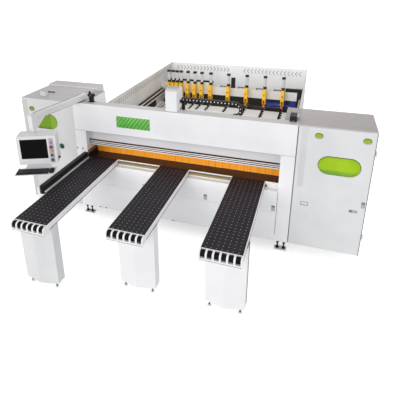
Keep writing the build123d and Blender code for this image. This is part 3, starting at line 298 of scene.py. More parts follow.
@dataclass(frozen=True)
class ChevronSheet(PowderCoat):
    """Coated guard sheet with a row of pressed chevrons that point to the middle of the sheet."""

    mark: str = "#908D8A"
    along: str = "X"
    middle_mm: float = 76.0
    nearest_mm: float = 154.0
    furthest_mm: float = 1386.0
    pitch_mm: float = 77.0
    row_mm: float = 1550.0
    rise_mm: float = 48.0
    lean_mm: float = 42.0
    stroke_mm: float = 15.0
    sink_mm: float = 2.0

    def strokes(self, canvas: Canvas) -> Socket:
        """Finds the pressed strokes.

        Args:
            canvas: Node tree of the material.

        Returns:
            Socket that is 1 on the strokes and 0 between them.
        """
        split = add_node(canvas.tree, "SeparateXYZ", {0: canvas.place}).outputs
        offset = canvas.step("SUBTRACT", split[self.along], self.middle_mm * MM)
        level = canvas.step("SUBTRACT", split["Z"], self.row_mm * MM)
        height = canvas.step("ABSOLUTE", level)
        away = canvas.step("ABSOLUTE", offset)
        slant = canvas.step("MULTIPLY_ADD", height, -self.lean_mm / self.rise_mm, away)
        share = canvas.step("FRACT", canvas.step("DIVIDE", slant, self.pitch_mm * MM))
        stroke = canvas.step("LESS_THAN", share, self.stroke_mm / self.pitch_mm)
        middle = (self.nearest_mm + self.furthest_mm) / 2 * MM
        half = (self.furthest_mm - self.nearest_mm) / 2 * MM
        in_row = canvas.step("COMPARE", slant, middle, half)
        in_rise = canvas.step("LESS_THAN", height, self.rise_mm * MM)
        return canvas.step("MULTIPLY", canvas.step("MULTIPLY", stroke, in_row), in_rise)

    def colouring(self, canvas: Canvas) -> Socket:
        """Darkens the pressed strokes as painted shade."""
        plain = super().colouring(canvas)
        return canvas.mix(self.strokes(canvas), plain, linear(self.mark))

    def relief(self, canvas: Canvas) -> Socket:
        """Sinks the strokes into the grained coat."""
        inputs = {
            "Height": self.strokes(canvas), "Distance": self.sink_mm * MM, "Strength": 0.7,
            "Normal": super().relief(canvas),
        }
        return add_node(canvas.tree, "Bump", inputs, invert=True).outputs["Normal"]


@dataclass(frozen=True)
class Striped(Finish):
    """Printed film with plain slanting bands."""

    band: str = "#2F9A44"
    pitch_mm: float = 44.572
    slant: float = -38.0

    def colouring(self, canvas: Canvas) -> Socket:
        """Draws the slanting bands over the clouded ground."""
        ground = super().colouring(canvas)
        lean = (0.0, math.radians(self.slant), 0.0)
        slanted = add_node(canvas.tree, "Mapping", {"Vector": canvas.place, "Rotation": lean})
        # At a scale of 1 the wave repeats every pi / 10 metres.
        scale = math.pi / 10 / (self.pitch_mm * MM)
        inputs = {"Vector": slanted.outputs["Vector"], "Scale": scale}
        wave = add_node(canvas.tree, "TexWave", inputs, bands_direction="X").outputs["Fac"]
        return canvas.mix(canvas.ramp(wave, 0.45, 0.55), ground, linear(self.band))


# Powder-coated sheet steel, white: satin, almost even, slightly cool; its faces that look up are
# painted dark grey as shade.
WHITE_COAT = PowderCoat(
    "powder_coat_white", "#F2F2F4", "#ECECEF", 0.42, grain_mm=2.5, specular=0.35, top="#8F8C8A"
)
# The white coat on the gantry, painted greyer as shade on the sheet set back under the fascia.
GANTRY_COAT = replace(
    WHITE_COAT, name="powder_coat_gantry", top="#B2AFAD",
    zones=(Zone("#D2D1D4", y=(-1058.0, -900.0), z=(1240.0, 1440.0)),),
)
# The white coat on the base, with a brown band of painted reflection and shade below the sill's
# slot.
BASE_COAT = replace(
    WHITE_COAT, name="powder_coat_base", top="#EFEDE8",
    zones=(Zone("#9C8B66", x=(-FAR, 1100.0), y=(-1000.0, -970.0), z=(925.0, 953.0)),),
)
# The white coat on the table boxes, with almost no painted shade on their tops.
TABLE_COAT = replace(WHITE_COAT, name="powder_coat_tables", top="#EDEBE9")
# The same coat on the right door and the first leg, painted a tone greyer than the fascia as
# shade.
SHADED_CABINET_COAT = replace(
    WHITE_COAT, name="powder_coat_cabinet", colour="#E0E1E2", shade="#D8D9DB", roughness=0.45,
    top="#BDBABA",
)
# The same coat on the left cabinet, painted greyer as shade, and darker still as painted shade on
# its outer post.
LEFT_COAT = replace(
    SHADED_CABINET_COAT, name="powder_coat_left_cabinet", colour="#D8D8D8", shade="#D0D0D0", top="#ACA9A9",
    zones=(Zone("#C8C8C7", x=(-FAR, -2388.0), y=(-1070.0, -1050.0), z=(0.0, 1840.0)),),
)
# The same coat on the right cabinet, with its tops painted darker as shade.
SHADED_TOP_COAT = replace(SHADED_CABINET_COAT, name="powder_coat_cabinet_shaded_top", top="#A29C9C")
# The same coat on the console housing and arm, with less painted shade on its tops than on the
# larger tops.
CONSOLE_COAT = replace(
    WHITE_COAT, name="powder_coat_console", colour="#E6E5E7", shade="#DDDCDE", grain_mm=2.0,
    top="#CFCDCD",
)
# Warm pale grey coat of the side beams, painted black as shade above their top and in a band
# below the rail.
GREY_COAT = PowderCoat(
    "powder_coat_grey", "#D6D2CC", "#CBC6C0", 0.5, grain_mm=2.5, specular=0.3, top="#CFCBC5",
    zones=(Zone("#1F1D1C", z=(1232.0, FAR)), Zone("#1F1D1C", z=(1176.0, 1222.0))),
)
# Guard sheets in pale grey with pressed chevrons darkened as painted shade: warm at the sides,
# whiter at the rear, where a dark brown band of painted shade covers the foot inside.
GUARD_SIDE = ChevronSheet(
    "powder_coat_guard_side", "#DEDCD9", "#D4D1CD", 0.5, grain_mm=2.5, specular=0.3, top="#C9C5C0",
    mark="#726D68", along="Y", middle_mm=2815.0, nearest_mm=82.0, furthest_mm=3198.0, pitch_mm=82.0,
)
GUARD_REAR = ChevronSheet(
    "powder_coat_guard_rear", "#F6F6F6", "#F0F0F0", 0.5, grain_mm=2.5, specular=0.3, top="#C9C5C0",
    zones=(Zone("#332D28", x=(-1405.0, 1530.0), y=(2700.0, 2816.0), z=(0.0, 1070.0)),),
)
# Pusher beam in a pale coat, with black plastic holders and duct on top of it, and its right end
# painted dark as shade in the gap by the guard.
PUSHER_COAT = replace(
    GREY_COAT, name="powder_coat_pusher", colour="#E4E6E6", shade="#D9DBDB", top="#C5C2BE",
    zones=(
        Zone("#1B1A1A", x=(-255.0, FAR), y=(1900.0, FAR), z=(1350.5, FAR)),
        Zone("#262424", x=(1415.5, FAR), y=(1900.0, FAR), z=(1000.0, FAR)),
    ),
)
# Zinc-primed and painted channel plates: pale grey with handling marks.
PLATE_COAT = PowderCoat(
    "powder_coat_plates", "#DCDBDA", "#CDCCCB", 0.45, cloud_mm=220.0, specular=0.3, top="#D6D6D6"
)
# Dark paint of the trough inside and of frames in shadow.
TROUGH_COAT = Finish("paint_dark_grey", "#6E6C6A", "#5C5A58", 0.55, specular=0.3)
# Dark brown paint on the cross tubes under the plates, darkened as painted shade.
SHADED_TUBE_PAINT = Finish("tube_paint_shaded_brown", "#4C433B", "#433A33", 0.6, specular=0.2)
# Sprayed yellow-green enamel on pressed trays: a little gloss, painted more olive as shade in the
# small ones. On the door the foot of the large tray is painted darker as shade and reflection.
GREEN_DOOR = PowderCoat(
    "enamel_yellow_green_door", "#A8CC22", "#98C01C", 0.4, specular=0.2, cloud_mm=260.0,
    top="#7FA32A", zones=(
        Zone("#A0B436", z=(1650.0, FAR)),
        Zone("#8CB436", z=(0.0, 1308.0)),
        Zone("#7CAE38", x=(-FAR, 2120.0), z=(0.0, 1309.0)),
    ),
)
# On the left cabinet it is painted darker as shade, greyer still in the small tray, and lighter
# again at the right end of the large tray, where less shade is painted.
GREEN_CABINET = replace(
    GREEN_DOOR, name="enamel_yellow_green_cabinet", colour="#749B27", shade="#6C9322",
    top="#66861F", zones=(
        Zone("#82943A", z=(1645.0, FAR)),
        Zone("#84AC28", x=(-2018.0, FAR), z=(0.0, 1640.0)),
    ),
)
# Dark olive rims round the trays, thickest at the top, painted as the shade of the recess.
PILL_SHADE_EDGE = Finish("pill_rim_painted_shade_olive", "#4F5E24", "#46541E", 0.5, specular=0.2, cloud_mm=120.0)
# Phenolic plywood, hot-pressed: dark red-brown film, half gloss, with faint drawn streaks.
PHENOLIC = Streaked(
    "phenolic_board_brown", "#3E2427", "#2F1A1D", 0.35, specular=0.3, streak_mm=9.0
)
# The same board painted paler, as a painted sheen on its glossy film.
SHEEN_PHENOLIC = Streaked(
    "phenolic_board_painted_sheen", "#9A736A", "#7C564E", 0.4, along=(0.0, 1.0, 0.0), specular=0.3,
    streak_mm=12.0,
)
# High-pressure laminate, black with a violet cast and fine flecks.
LAMINATE = Speckled(
    "laminate_black", "#262429", "#2A262A", 0.5, cloud_mm=350.0, specular=0.1, fleck="#403A45"
)
# Moulded ABS, black: fine pebble grain, soft highlights.
BLACK_PLASTIC = Finish(
    "abs_black_moulded", "#19191B", "#202022", 0.5, grain_mm=1.2, grain_height_mm=0.05, specular=0.2
)
# Rubber sleeves of the nose rollers, ground matt: almost no highlight.
SLEEVE_RUBBER = Finish(
    "rubber_black_sleeve", "#151416", "#1B191C", 0.75, specular=0.06, cloud_mm=40.0
)
# Black enamel on steel: smooth and darker than the plastic.
BLACK_ENAMEL = Finish("enamel_black", "#222123", "#1B1A1C", 0.45, cloud_mm=200.0, specular=0.2)
# Extruded and anodised aluminium: pale, with drawn lines along its length.
ALUMINIUM = Streaked(
    "aluminium_anodised_extruded", "#E6E6E7", "#D9D9DB", 0.4, metallic=0.15, streak_mm=1.5
)
# Orange-brown rubber lip.
LIP_RUBBER = Finish("rubber_orange_brown", "#B5701F", "#A06018", 0.6, specular=0.2)
# Flexible PVC strip, calendered: saturated orange, half matt.
ORANGE_PVC = Streaked(
    "pvc_strip_orange", "#FFAA30", "#F59A20", 0.5, along=(0.0, 0.0, 1.0), specular=0.3,
    streak_mm=14.0, stretch=40.0,
)
# Two-pack enamel on castings: deep warm yellow with a wet gloss.
YELLOW_ENAMEL = Finish(
    "enamel_yellow", "#FFCE2E", "#FBBE1E", 0.32, coat=0.1, specular=0.35, cloud_mm=60.0
)
# The same enamel on the jaws, darkened as painted shade.
SHADED_YELLOW_ENAMEL = replace(
    YELLOW_ENAMEL, name="enamel_yellow_shaded", colour="#D88A1A", shade="#C67A12", cloud_mm=40.0
)
# Brown-orange primer in the bolt bores of the clamps.
PRIMER = Finish("primer_brown_orange", "#A8621C", "#935214", 0.5, cloud_mm=20.0)
# Motor enamel, dark blue.
BLUE_ENAMEL = Finish("enamel_blue", "#2236A8", "#1A2A8C", 0.35, coat=0.15, cloud_mm=80.0)
# Ground steel: fine lines, bright, for rails, blades and carriage.
GROUND_STEEL = Streaked("steel_ground", "#B9B9BC", "#9E9EA2", 0.3, metallic=1.0, streak_mm=1.0)
# Zinc-plated steel: duller, slightly mottled.
ZINC = Finish("steel_zinc_plated", "#9C9C9D", "#868687", 0.45, metallic=0.5, cloud_mm=25.0)
# Zinc-plated catch plates, passivated pale, with buttons passivated dark.
PALE_ZINC = Finish("steel_zinc_pale", "#B4B4B5", "#A4A4A5", 0.45, metallic=0.3, cloud_mm=25.0)
SLATE_ZINC = replace(PALE_ZINC, name="steel_zinc_slate", colour="#7A7B7D", shade="#6C6D6F")
# Zinc-plated floor plates, almost white, under black bolts and studs.
FOOT_ZINC = PowderCoat(
    "steel_zinc_foot_plates", "#FAFAF9", "#F2F2F1", 0.42, cloud_mm=25.0, top="#FAFAF9",
    zones=(Zone("#1E1D1F", z=(16.5, FAR)),),
)
# Blackened steel of the lock nuts: deep black, oiled matt.
NUT_BLACK = Finish("steel_blackened", "#0E0E0F", "#141415", 0.6, specular=0.15, cloud_mm=25.0)
# Steel balls of the air valves, dulled by boards.
BALL_STEEL = Finish(
    "steel_ball_dull", "#8B888E", "#79767C", 0.3, metallic=0.2, grain_height_mm=0.005
)
# Monitor glass: black and smooth, with a coating that keeps reflections off.
SCREEN_GLASS = Finish(
    "glass_screen_black", "#0A080B", "#0D0A0E", 0.2, specular=0.05, grain_height_mm=0.002
)
# Anodised cylinder barrels with black end caps.
CYLINDER = PowderCoat(
    "aluminium_barrel_capped", "#D6D6D6", "#CACACA", 0.32, metallic=0.1,
    zones=(Zone("#161616", z=(1619.2, FAR)),),
)
# Moulded plastics of the controls: glossy and clear in colour.
RED_PLASTIC = Finish("abs_red_gloss", "#9E0C46", "#900A3E", 0.3, coat=0.2, cloud_mm=40.0)
PINK_PLASTIC = replace(RED_PLASTIC, name="abs_pink_gloss", colour="#D9789C", shade="#CF6E92")
AMBER_PLASTIC = replace(RED_PLASTIC, name="abs_amber_gloss", colour="#E2A63E", shade="#D89A34")
GREEN_PLASTIC = Finish("abs_green_gloss", "#0F6B4A", "#0C5A3E", 0.3, coat=0.3, cloud_mm=40.0)
# Slate plastic of collars, and of the strips and beads that are painted shade: half gloss.
DARK_PLASTIC = Finish("abs_slate_gloss", "#4A4E55", "#42464D", 0.35, specular=0.3, cloud_mm=40.0)
# Moulded key caps: dark grey and matt from use.
KEY_PLASTIC = Finish("abs_key_grey", "#36373A", "#292A2D", 0.5, specular=0.2, cloud_mm=40.0)
# Brushed film of the button strip.
STRIP_FILM = Streaked(
    "film_button_strip_grey", "#B9B8BD", "#ADACB2", 0.45, along=(0.0, 0.0, 1.0), streak_mm=2.0
)
# Nylon rivets, rail wheels and the dome cap: milky white.
WHITE_NYLON = Finish("nylon_white", "#F2F0EC", "#E9E7E2", 0.4, cloud_mm=30.0)
# Brush seal of natural fibre in the sill slot.
BRUSH_FIBRE = Streaked(
    "brush_fibre_olive", "#7F7150", "#63573C", 0.8, along=(0.0, 0.0, 1.0), streak_mm=3.0
)
# Generic printed film with slanting bands.
BAND_FILM = Striped(
    "film_printed_bands", "#7CC03A", "#6DB534", 0.35, coat=0.2, cloud_mm=160.0
)


class Shape:
    """Collects simple solids, given in millimetres, into one mesh."""

    pill_steps: ClassVar[int] = 32

    def __init__(self) -> None:
        """Starts with nothing."""
        self.mesh = bmesh.new()

    def box(
        self, low: Point, high: Point, edge: float = 1.0, turn: Matrix | None = None
    ) -> "Shape":
        """Adds a block with broken edges.

        Args:
            low: Lowest corner.
            high: Highest corner.
            edge: Width of the broken edges.
            turn: Matrix in metres that carries the block from its own frame to its place.

        Returns:
            The shape itself.
        """
        a, b = Vector(low) * MM, Vector(high) * MM
        fit = Matrix.Translation((a + b) / 2) @ Matrix.Diagonal((*(b - a), 1.0))
        place = (turn or Matrix.Identity(4)) @ fit
        made = bmesh.ops.create_cube(self.mesh, size=1.0, matrix=place)
        if edge > 0:
            found = (line for corner in made["verts"] for line in corner.link_edges)
            lines = list(dict.fromkeys(found))
            bmesh.ops.bevel(
                self.mesh, geom=lines, offset=edge * MM, segments=2, profile=0.5, affect="EDGES"
            )
        return self

    def lathe(self, start: Point, way: Point, profile: Outline, sides: int = 16) -> "Shape":
        """Turns a profile of (distance along, radius) points about a line.

        Args:
            start: Where the line begins.
            way: Direction of the line.
            profile: Points of the turned outline; a first or last radius of 0 closes that end.
            sides: Flats round the turn.

        Returns:
            The shape itself.
        """
        axis = Vector(way).normalized()
        side = axis.orthogonal().normalized()
        up = axis.cross(side)
        turns = [2 * math.pi * i / sides for i in range(sides)]
        spokes = [side * math.cos(turn) + up * math.sin(turn) for turn in turns]
        rings = []
        for along, radius in profile:
            centre = (Vector(start) + axis * along) * MM
            places = [centre + spoke * radius * MM for spoke in spokes] if radius else [centre]
            rings.append([self.mesh.verts.new(place) for place in places])
        for near, far in zip(rings, rings[1:]):
            self.stitch(near, far)
        for ring, flip in ((rings[0], True), (rings[-1], False)):
            if len(ring) > 1:
                self.mesh.faces.new(ring[::-1] if flip else ring)
        return self

    def stitch(self, near: Sequence[Corner], far: Sequence[Corner]) -> None:
        """Joins two rings of corners with faces; a ring may be a single corner."""
        sides = max(len(near), len(far))
        for i in range(sides):
            j = (i + 1) % sides
            corners = [near[i % len(near)], near[j % len(near)]]
            corners += [far[j % len(far)], far[i % len(far)]]
            kept = list(dict.fromkeys(corners))
            if len(kept) > 2:
                self.mesh.faces.new(kept)

    def pill_rim(self, place: Span, size: Span, y: Span, wide: float, drop: float) -> "Shape":
        """Adds a rim round a round-ended window that faces -Y.

        Args:
            place: Middle of the window, (x, z).
            size: Length and height of the window.
            y: Front and back of the rim.
            wide: Width of the rim, outward from the window's edge.
            drop: How far the rim's inner edge sits below the window's, which thickens its top
            into a band of painted shade.

        Returns:
            The shape itself.
        """
        straight = (size[0] - size[1]) / 2
        loops = []
        for grow, lower, depth in (
            (0.0, drop, y[1]), (0.0, drop, y[0]), (wide, 0.0, y[0]), (wide, 0.0, y[1]),
        ):
            radius = size[1] / 2 + grow
            loop = []
            for step in range(self.pill_steps):
                turn = -math.pi / 2 + 2 * math.pi * (step + 0.5) / self.pill_steps
                x = place[0] + math.copysign(straight, math.cos(turn)) + radius * math.cos(turn)
                z = place[1] - lower + radius * math.sin(turn)
                loop.append(self.mesh.verts.new(Vector((x, depth, z)) * MM))
            loops.append(loop)
        for near, far in zip(loops, loops[1:] + loops[:1]):
            self.stitch(near, far)
        return self

    def make(self, name: str, finish: Finish, slot: Slot, body: Body = Body.FRAME) -> None:
        """Turns the collected solids into a piece that rides on a body.

        Args:
            name: Name of the piece.
            finish: Its finish.
            slot: Slot of the record that the finish belongs to; not used.
            body: Body that carries it.
        """
        bmesh.ops.recalc_face_normals(self.mesh, faces=self.mesh.faces)
        for face in self.mesh.faces:
            face.smooth = True
        data = bpy.data.meshes.new(name)
        self.mesh.to_mesh(data)
        self.mesh.free()
        data.set_sharp_from_angle(angle=math.radians(SHARP_DEGREES))
        data.materials.append(finish.material())
        piece = place_object(name, data)
        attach(piece, body.value)
        log.info("%s on %s: %d faces, %s", name, body.value, len(data.polygons), finish.name)


def place_object(name: str, data: bpy.types.ID) -> bpy.types.Object:
    """Puts a mesh, lamp or camera in the scene."""
    made = bpy.data.objects.new(name, data)
    bpy.context.scene.collection.objects.link(made)
    return made


def cap_screw(shape: Shape, place: Point, way: Point, radius: float) -> None:
    """Adds a socket-head screw with a chamfered head and a hollow socket.

    Args:
        shape: Shape that takes the screw.
        place: Centre of the seat under the head.
        way: Direction in which the head stands out.
        radius: Radius of the head.
    """
    high = radius * 1.1
    socket = [(high, radius * 0.5), (high * 0.45, radius * 0.45), (high * 0.45, 0.0)]
    head = [(0.0, radius), (high * 0.85, radius), (high, radius * 0.86)]
    shape.lathe(place, way, head + socket, 12)


def border(
    left: float, right: float, low: float, high: float, wide: float
) -> list[tuple[Span, Span]]:
    """Gives the lower and upper corners of the four strips inside the edge of a rectangle."""
    return [
        ((left, low), (left + wide, high)),
        ((right - wide, low), (right, high)),
        ((left + wide, low), (right - wide, low + wide)),
        ((left + wide, high - wide), (right - wide, high)),
    ]


class Assembly(ABC):
    """A sub-assembly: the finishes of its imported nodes, and the fittings that it adds."""

    looks: ClassVar[dict[Finish, tuple[str, ...]]]

    @abstractmethod
    def build(self) -> None:
        """Adds the fittings."""

    def dress(self) -> None:
        """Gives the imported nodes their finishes."""
        for finish, nodes in self.looks.items():
            for name in nodes:
                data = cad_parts[name].data
                data.materials.clear()
                data.materials.append(finish.material())


@dataclass
class Stage:
    """Studio floor, light and camera."""

    eye: tuple[float, float, float] = (1715.5, -5920.0, 3671.9)
    yaw: float = 20.01
    pitch: float = 20.55
    roll: float = 1.06
    focal_px: float = 409.35
    centre_px: Span = (171.17, 121.45)
    image_px: float = 400.0
    floor_half: float = 60.0
    floor_glow: float = 0.58
    world_light: float = 0.78
    key_light: float = 1.15
    key_degrees: float = 50.0
    key_way: tuple[float, float, float] = (0.27, 0.93, -0.26)
    panel_length: float = 2.6

    def build(self) -> None:
        """Sets up everything round the object."""
        self.floor()
        self.world()
        self.lamps()
        self.camera()
        bpy.context.scene.view_settings.view_transform = "Standard"

    def floor(self) -> None:
        """Lays a wide pale floor that reads white to the camera and keeps the shadow."""
        data = bpy.data.meshes.new("studio_floor")
        half = self.floor_half
        corners = [(-half, -half, 0), (half, -half, 0), (half, half, 0), (-half, half, 0)]
        data.from_pydata(corners, [], [(0, 1, 2, 3)])
        made = bpy.data.materials.new("studio_floor_white")
        made.use_nodes = True
        tree = made.node_tree
        tree.nodes.remove(tree.nodes["Principled BSDF"])
        canvas = Canvas(tree)
        lift = canvas.step("MULTIPLY", canvas.seen(), self.floor_glow)
        paint = add_node(tree, "BsdfDiffuse", {"Color": (0.8, 0.8, 0.8, 1.0)})
        glow = add_node(tree, "Emission", {"Color": (1.0, 1.0, 1.0, 1.0), "Strength": lift})
        both = add_node(tree, "AddShader", {0: paint.outputs[0], 1: glow.outputs[0]})
        tree.links.new(both.outputs[0], tree.nodes["Material Output"].inputs["Surface"])
        data.materials.append(made)
        floor = place_object("studio_floor", data)

    def world(self) -> None:
        """Surrounds the object with even light that looks white where it is seen."""
        world = bpy.data.worlds.new("studio_world")
        bpy.context.scene.world = world
        world.use_nodes = True
        tree = world.node_tree
        canvas = Canvas(tree)
        background = tree.nodes["Background"]
        background.inputs["Color"].default_value = (1.0, 1.0, 1.0, 1.0)
        level = canvas.ramp(canvas.seen(), 0.0, 1.0, (self.world_light, 1.0))
        tree.links.new(level, background.inputs["Strength"])

    def lamps(self) -> None:
        """Lights the fronts with a broad far key, and the rear well and the curtain with panels."""
        key = bpy.data.lights.new("key_far_panel", "SUN")
        key.energy = self.key_light
        key.angle = math.radians(self.key_degrees)
        holder = place_object("key_far_panel", key)
        holder.rotation_euler = Vector(self.key_way).to_track_quat("-Z", "Y").to_euler()
        self.panel("rear_well_panel", (0.1, -0.3, 3.7), (0.0, 0.6, -0.8), 0.8, 32.0, 180.0)
        self.panel("curtain_panel", (0.0, -2.3, 1.2), (0.0, 0.995, -0.06), 0.2, 1.2, 34.0)

    def panel(
        self, name: str, place: Point, way: Point, high: float, watts: float, spread: float
    ) -> None:
        """Hangs one long soft panel lamp.

        Args:
            name: Name of the lamp.
            place: Its middle, in metres.
            way: Direction it shines in.
            high: Height of the panel, in metres.
            watts: Its power.
            spread: Angle of its grid, in degrees.
        """
        lamp = bpy.data.lights.new(name, "AREA")
        lamp.shape = "RECTANGLE"
        lamp.size, lamp.size_y = self.panel_length, high
        lamp.energy = watts
        lamp.spread = math.radians(spread)
        holder = place_object(name, lamp)
        holder.location = place
        holder.rotation_euler = Vector(way).to_track_quat("-Z", "Y").to_euler()
        holder.visible_camera = False

    def camera(self) -> None:
        """Puts the camera where the picture was taken from."""
        yaw, pitch, roll = (math.radians(v) for v in (self.yaw, self.pitch, self.roll))
        level = math.cos(pitch)
        ahead = Vector((-math.sin(yaw) * level, math.cos(yaw) * level, -math.sin(pitch)))
        right = ahead.cross(Vector((0.0, 0.0, 1.0))).normalized()
        down = ahead.cross(right)
        across = right * math.cos(roll) + down * math.sin(roll)
        below = down * math.cos(roll) - right * math.sin(roll)
        data = bpy.data.cameras.new("studio_camera")
        data.sensor_width = 36.0
        data.lens = self.focal_px * data.sensor_width / self.image_px
        data.shift_x = (self.image_px / 2 - self.centre_px[0]) / self.image_px
        data.shift_y = (self.centre_px[1] - self.image_px / 2) / self.image_px
        holder = place_object("studio_camera", data)
        axes = Matrix((across, -below, -ahead)).transposed().to_4x4()
        holder.matrix_world = Matrix.Translation(Vector(self.eye) * MM) @ axes
        bpy.context.scene.camera = holder


@dataclass
class Housings(Assembly):
    """Columns, gantry, cabinets and panels with their small fittings, and the saw inside them."""

    looks = {
        WHITE_COAT: ("dust_hood", "column_left", "column_right"),
        GANTRY_COAT: ("gantry_beam",),
        BASE_COAT: ("base_front_panels",),
        SHADED_CABINET_COAT: ("right_door", "door_latch"),
        LEFT_COAT: ("left_cabinet",),
        SHADED_TOP_COAT: ("right_cabinet",),
        GREEN_CABINET: ("left_inserts",),
        GREEN_DOOR: ("right_door_inserts",),
        GREEN_PLASTIC: ("main_switch",),
        FOOT_ZINC: ("levelling_feet",),
        PHENOLIC: ("machine_table",),
        ORANGE_PVC: ("strip_curtain",),
        ALUMINIUM: ("profile_rail", "pressure_beam"),
        TROUGH_COAT: ("base_trough", "saw_lift"),
        GROUND_STEEL: ("saw_guides", "saw_carriage", "main_blade", "scoring_blade"),
    }
    front: float = -1062.0
    top: float = 1862.0
    latch: tuple[float, float, float, float] = (1703.0, 1789.0, 783.0, 824.0)
    latch_rim: float = 5.0
    bolt_columns: Span = (-1493.0, 1499.0)
    bolt_rows: Span = (-1007.0, -443.0)
    bolt_side: float = 42.0
    nut_spans: tuple[Span, ...] = ((16.0, 42.0), (104.0, 130.0))
    profile: Span = (-1400.0, 1406.0)
    pill: Span = (484.0, 240.0)
    small_pill: Span = (85.0, 65.0)
    pill_lip: float = 5.0
    pill_drop: float = 4.5

    def build(self) -> None:
        """Adds the fittings on the sheet-metal housings."""
        self.film_plate()
        self.lock_nuts()
        self.column_studs()
        self.catch_plates()
        self.door_trim()
        self.pill_shade_rims()
        self.top_pull()
        self.switch_collar()
        self.guide_plate()
        self.sill_brushes()
        self.lip_seal()
        self.rear_panels()

    def film_plate(self) -> None:
        """Puts the banded film plate on the fascia."""
        plate = Shape().box((-883, self.front - 3, 1557), (-370, self.front, 1725), 1.2)
        plate.make("fascia_film_plate", BAND_FILM, Slot.GREEN)

    def lock_nuts(self) -> None:
        """Screws two hexagon nuts to each floor bolt, one on the plate and one near the top."""
        nuts = Shape()
        places = [
            (centre + side, y)
            for centre in self.bolt_columns
            for side in (-self.bolt_side, self.bolt_side)
            for y in self.bolt_rows
        ]
        for x, y in places:
            for low, high in self.nut_spans:
                tall = high - low
                outline = [(0, 20), (2, 22), (tall - 2, 22), (tall, 20)]
                nuts.lathe((x, y, low), (0, 0, 1), outline, 6)
        nuts.make("floor_bolt_nuts", NUT_BLACK, Slot.BLACK)

    def column_studs(self) -> None:
        """Sets dark screws in the left column and the skirt, and a knob on the sill."""
        studs = Shape()
        for x in (-1567, -1479):
            cap_screw(studs, (x, self.front, 1146), (0, -1, 0), 9)
        for x in (-1262, -1163, -49):
            cap_screw(studs, (x, self.front - 1, 168), (0, -1, 0), 9)
        knob = [(0, 8), (6, 8), (6, 13), (16, 13), (19, 10), (19, 0)]
        studs.lathe((1247, -984, 940), (0, -1, 0), knob, 16)
        studs.make("column_studs", BLACK_ENAMEL, Slot.BLACK)

    def catch_plates(self) -> None:
        """Sets the push-button catches in the panels and the door."""
        for name, body, places in (
            ("panel", Body.FRAME, ((-495, 655, 24, 42), (435, 655, 24, 42), (1365, 655, 24, 42))),
            ("door", Body.DOOR, ((2328, 800, 50, 19), (2428, 905, 22, 42))),
        ):
            plates, buttons = Shape(), Shape()
            for place in places:
                self.catch(plates, buttons, *place)
            plates.make(f"{name}_catches", PALE_ZINC, Slot.ZINC, body)
            buttons.make(f"{name}_catch_buttons", SLATE_ZINC, Slot.ZINC, body)

    def catch(
        self, plates: Shape, buttons: Shape, x: float, z: float, wide: float, high: float
    ) -> None:
        """Adds one catch: a rim, a raised plate, and a push button at its top or left end.

        Args:
            plates: Shape that takes the rim and the plate.
            buttons: Shape that takes the button.
            x: Centre along X.
            z: Centre height.
            wide: Half width.
            high: Half height.
        """
        y = self.front
        left, right, low, top = x - wide, x + wide, z - high, z + high
        plates.box((left, y - 2, low), (right, y, top), 0.8)
        plates.box((left + 5, y - 3, low + 5), (right - 5, y - 2, top - 5), 0.4)
        if high > wide:
            buttons.box((left + 2, y - 8, top - 26), (right - 2, y - 2, top - 2), 2)
        else:
            buttons.box((left + 2, y - 8, low + 3), (left + 42, y - 2, top - 3), 2)

    def door_trim(self) -> None:
        """Frames the latch, and covers the door's post, gaps and free edge with painted shade."""
        y = self.front
        rim = Shape()
        left, right, low, high = self.latch
        wide = self.latch_rim
        for a, b in border(left - wide, right + wide, low - wide, high + wide, wide):
            rim.box((a[0], y - 2, a[1]), (b[0], y, b[1]), 0.6)
        rim.make("latch_rim", SLATE_ZINC, Slot.ZINC, Body.DOOR)
        # The post cover is a strip of the greyer left coat, painted darker as shade.
        cover = Shape().box((1635, y - 0.5, 1040), (1668, y + 1.5, 1857), 0.5)
        cover.box((1668, y - 2, 1040), (1701, y + 1.5, 1857), 0.8)
        cover.make("door_post_shade_cover", LEFT_COAT, Slot.WHITE, Body.DOOR)
        # Dark strips in the gaps and along the door's free edge are painted shade.
        seal = Shape().box((1584, y - 2, 160), (1590, y, 1856), 0.6)
        seal.box((1408, y - 2, 260), (1413, y, 905), 0.6)
        seal.make("door_gap_shade_strip", DARK_PLASTIC, Slot.BLACK)
        edge = Shape().box((2460, y - 2, 161), (2467, y, 1856), 0.6)
        edge.make("door_edge_shade_strip", DARK_PLASTIC, Slot.BLACK, Body.DOOR)

    def pill_shade_rims(self) -> None:
        """Edges the pill windows with a dark green lip of painted shade, thickest at the top."""
        y = (self.front - 1.5, self.front + 1.0)
        large, small = self.pill, self.small_pill
        for name, body, windows in (
            ("door", Body.DOOR, {(2099, 1381): large, (1832, 1753): small, (2365, 1748): small}),
            ("cabinet", Body.FRAME, {(-2131, 1510): large, (-2314, 1695): small}),
        ):
            rims = Shape()
            for place, size in windows.items():
                rims.pill_rim(place, size, y, self.pill_lip, self.pill_drop)
            rims.make(f"{name}_pill_shade_rims", PILL_SHADE_EDGE, Slot.GREEN, body)

    def top_pull(self) -> None:
        """Puts a pull handle on the left cabinet's lid."""
        pull = Shape()
        for x in (-2248, -2139):
            pull.box((x - 8, -712, self.top), (x + 8, -688, self.top + 8), 2)
        pull.box((-2256, -709, self.top + 5), (-2131, -691, self.top + 14), 3)
        pull.make("lid_pull", BLACK_PLASTIC, Slot.BLACK)

    def switch_collar(self) -> None:
        """Rings the main switch."""
        ring = [(0, 44), (3, 44), (5, 41), (5, 32.5), (0, 32.5), (0, 44)]
        collar = Shape().lathe((-1852, self.front, 1132), (0, -1, 0), ring, 32)
        collar.make("switch_collar", DARK_PLASTIC, Slot.BLACK)

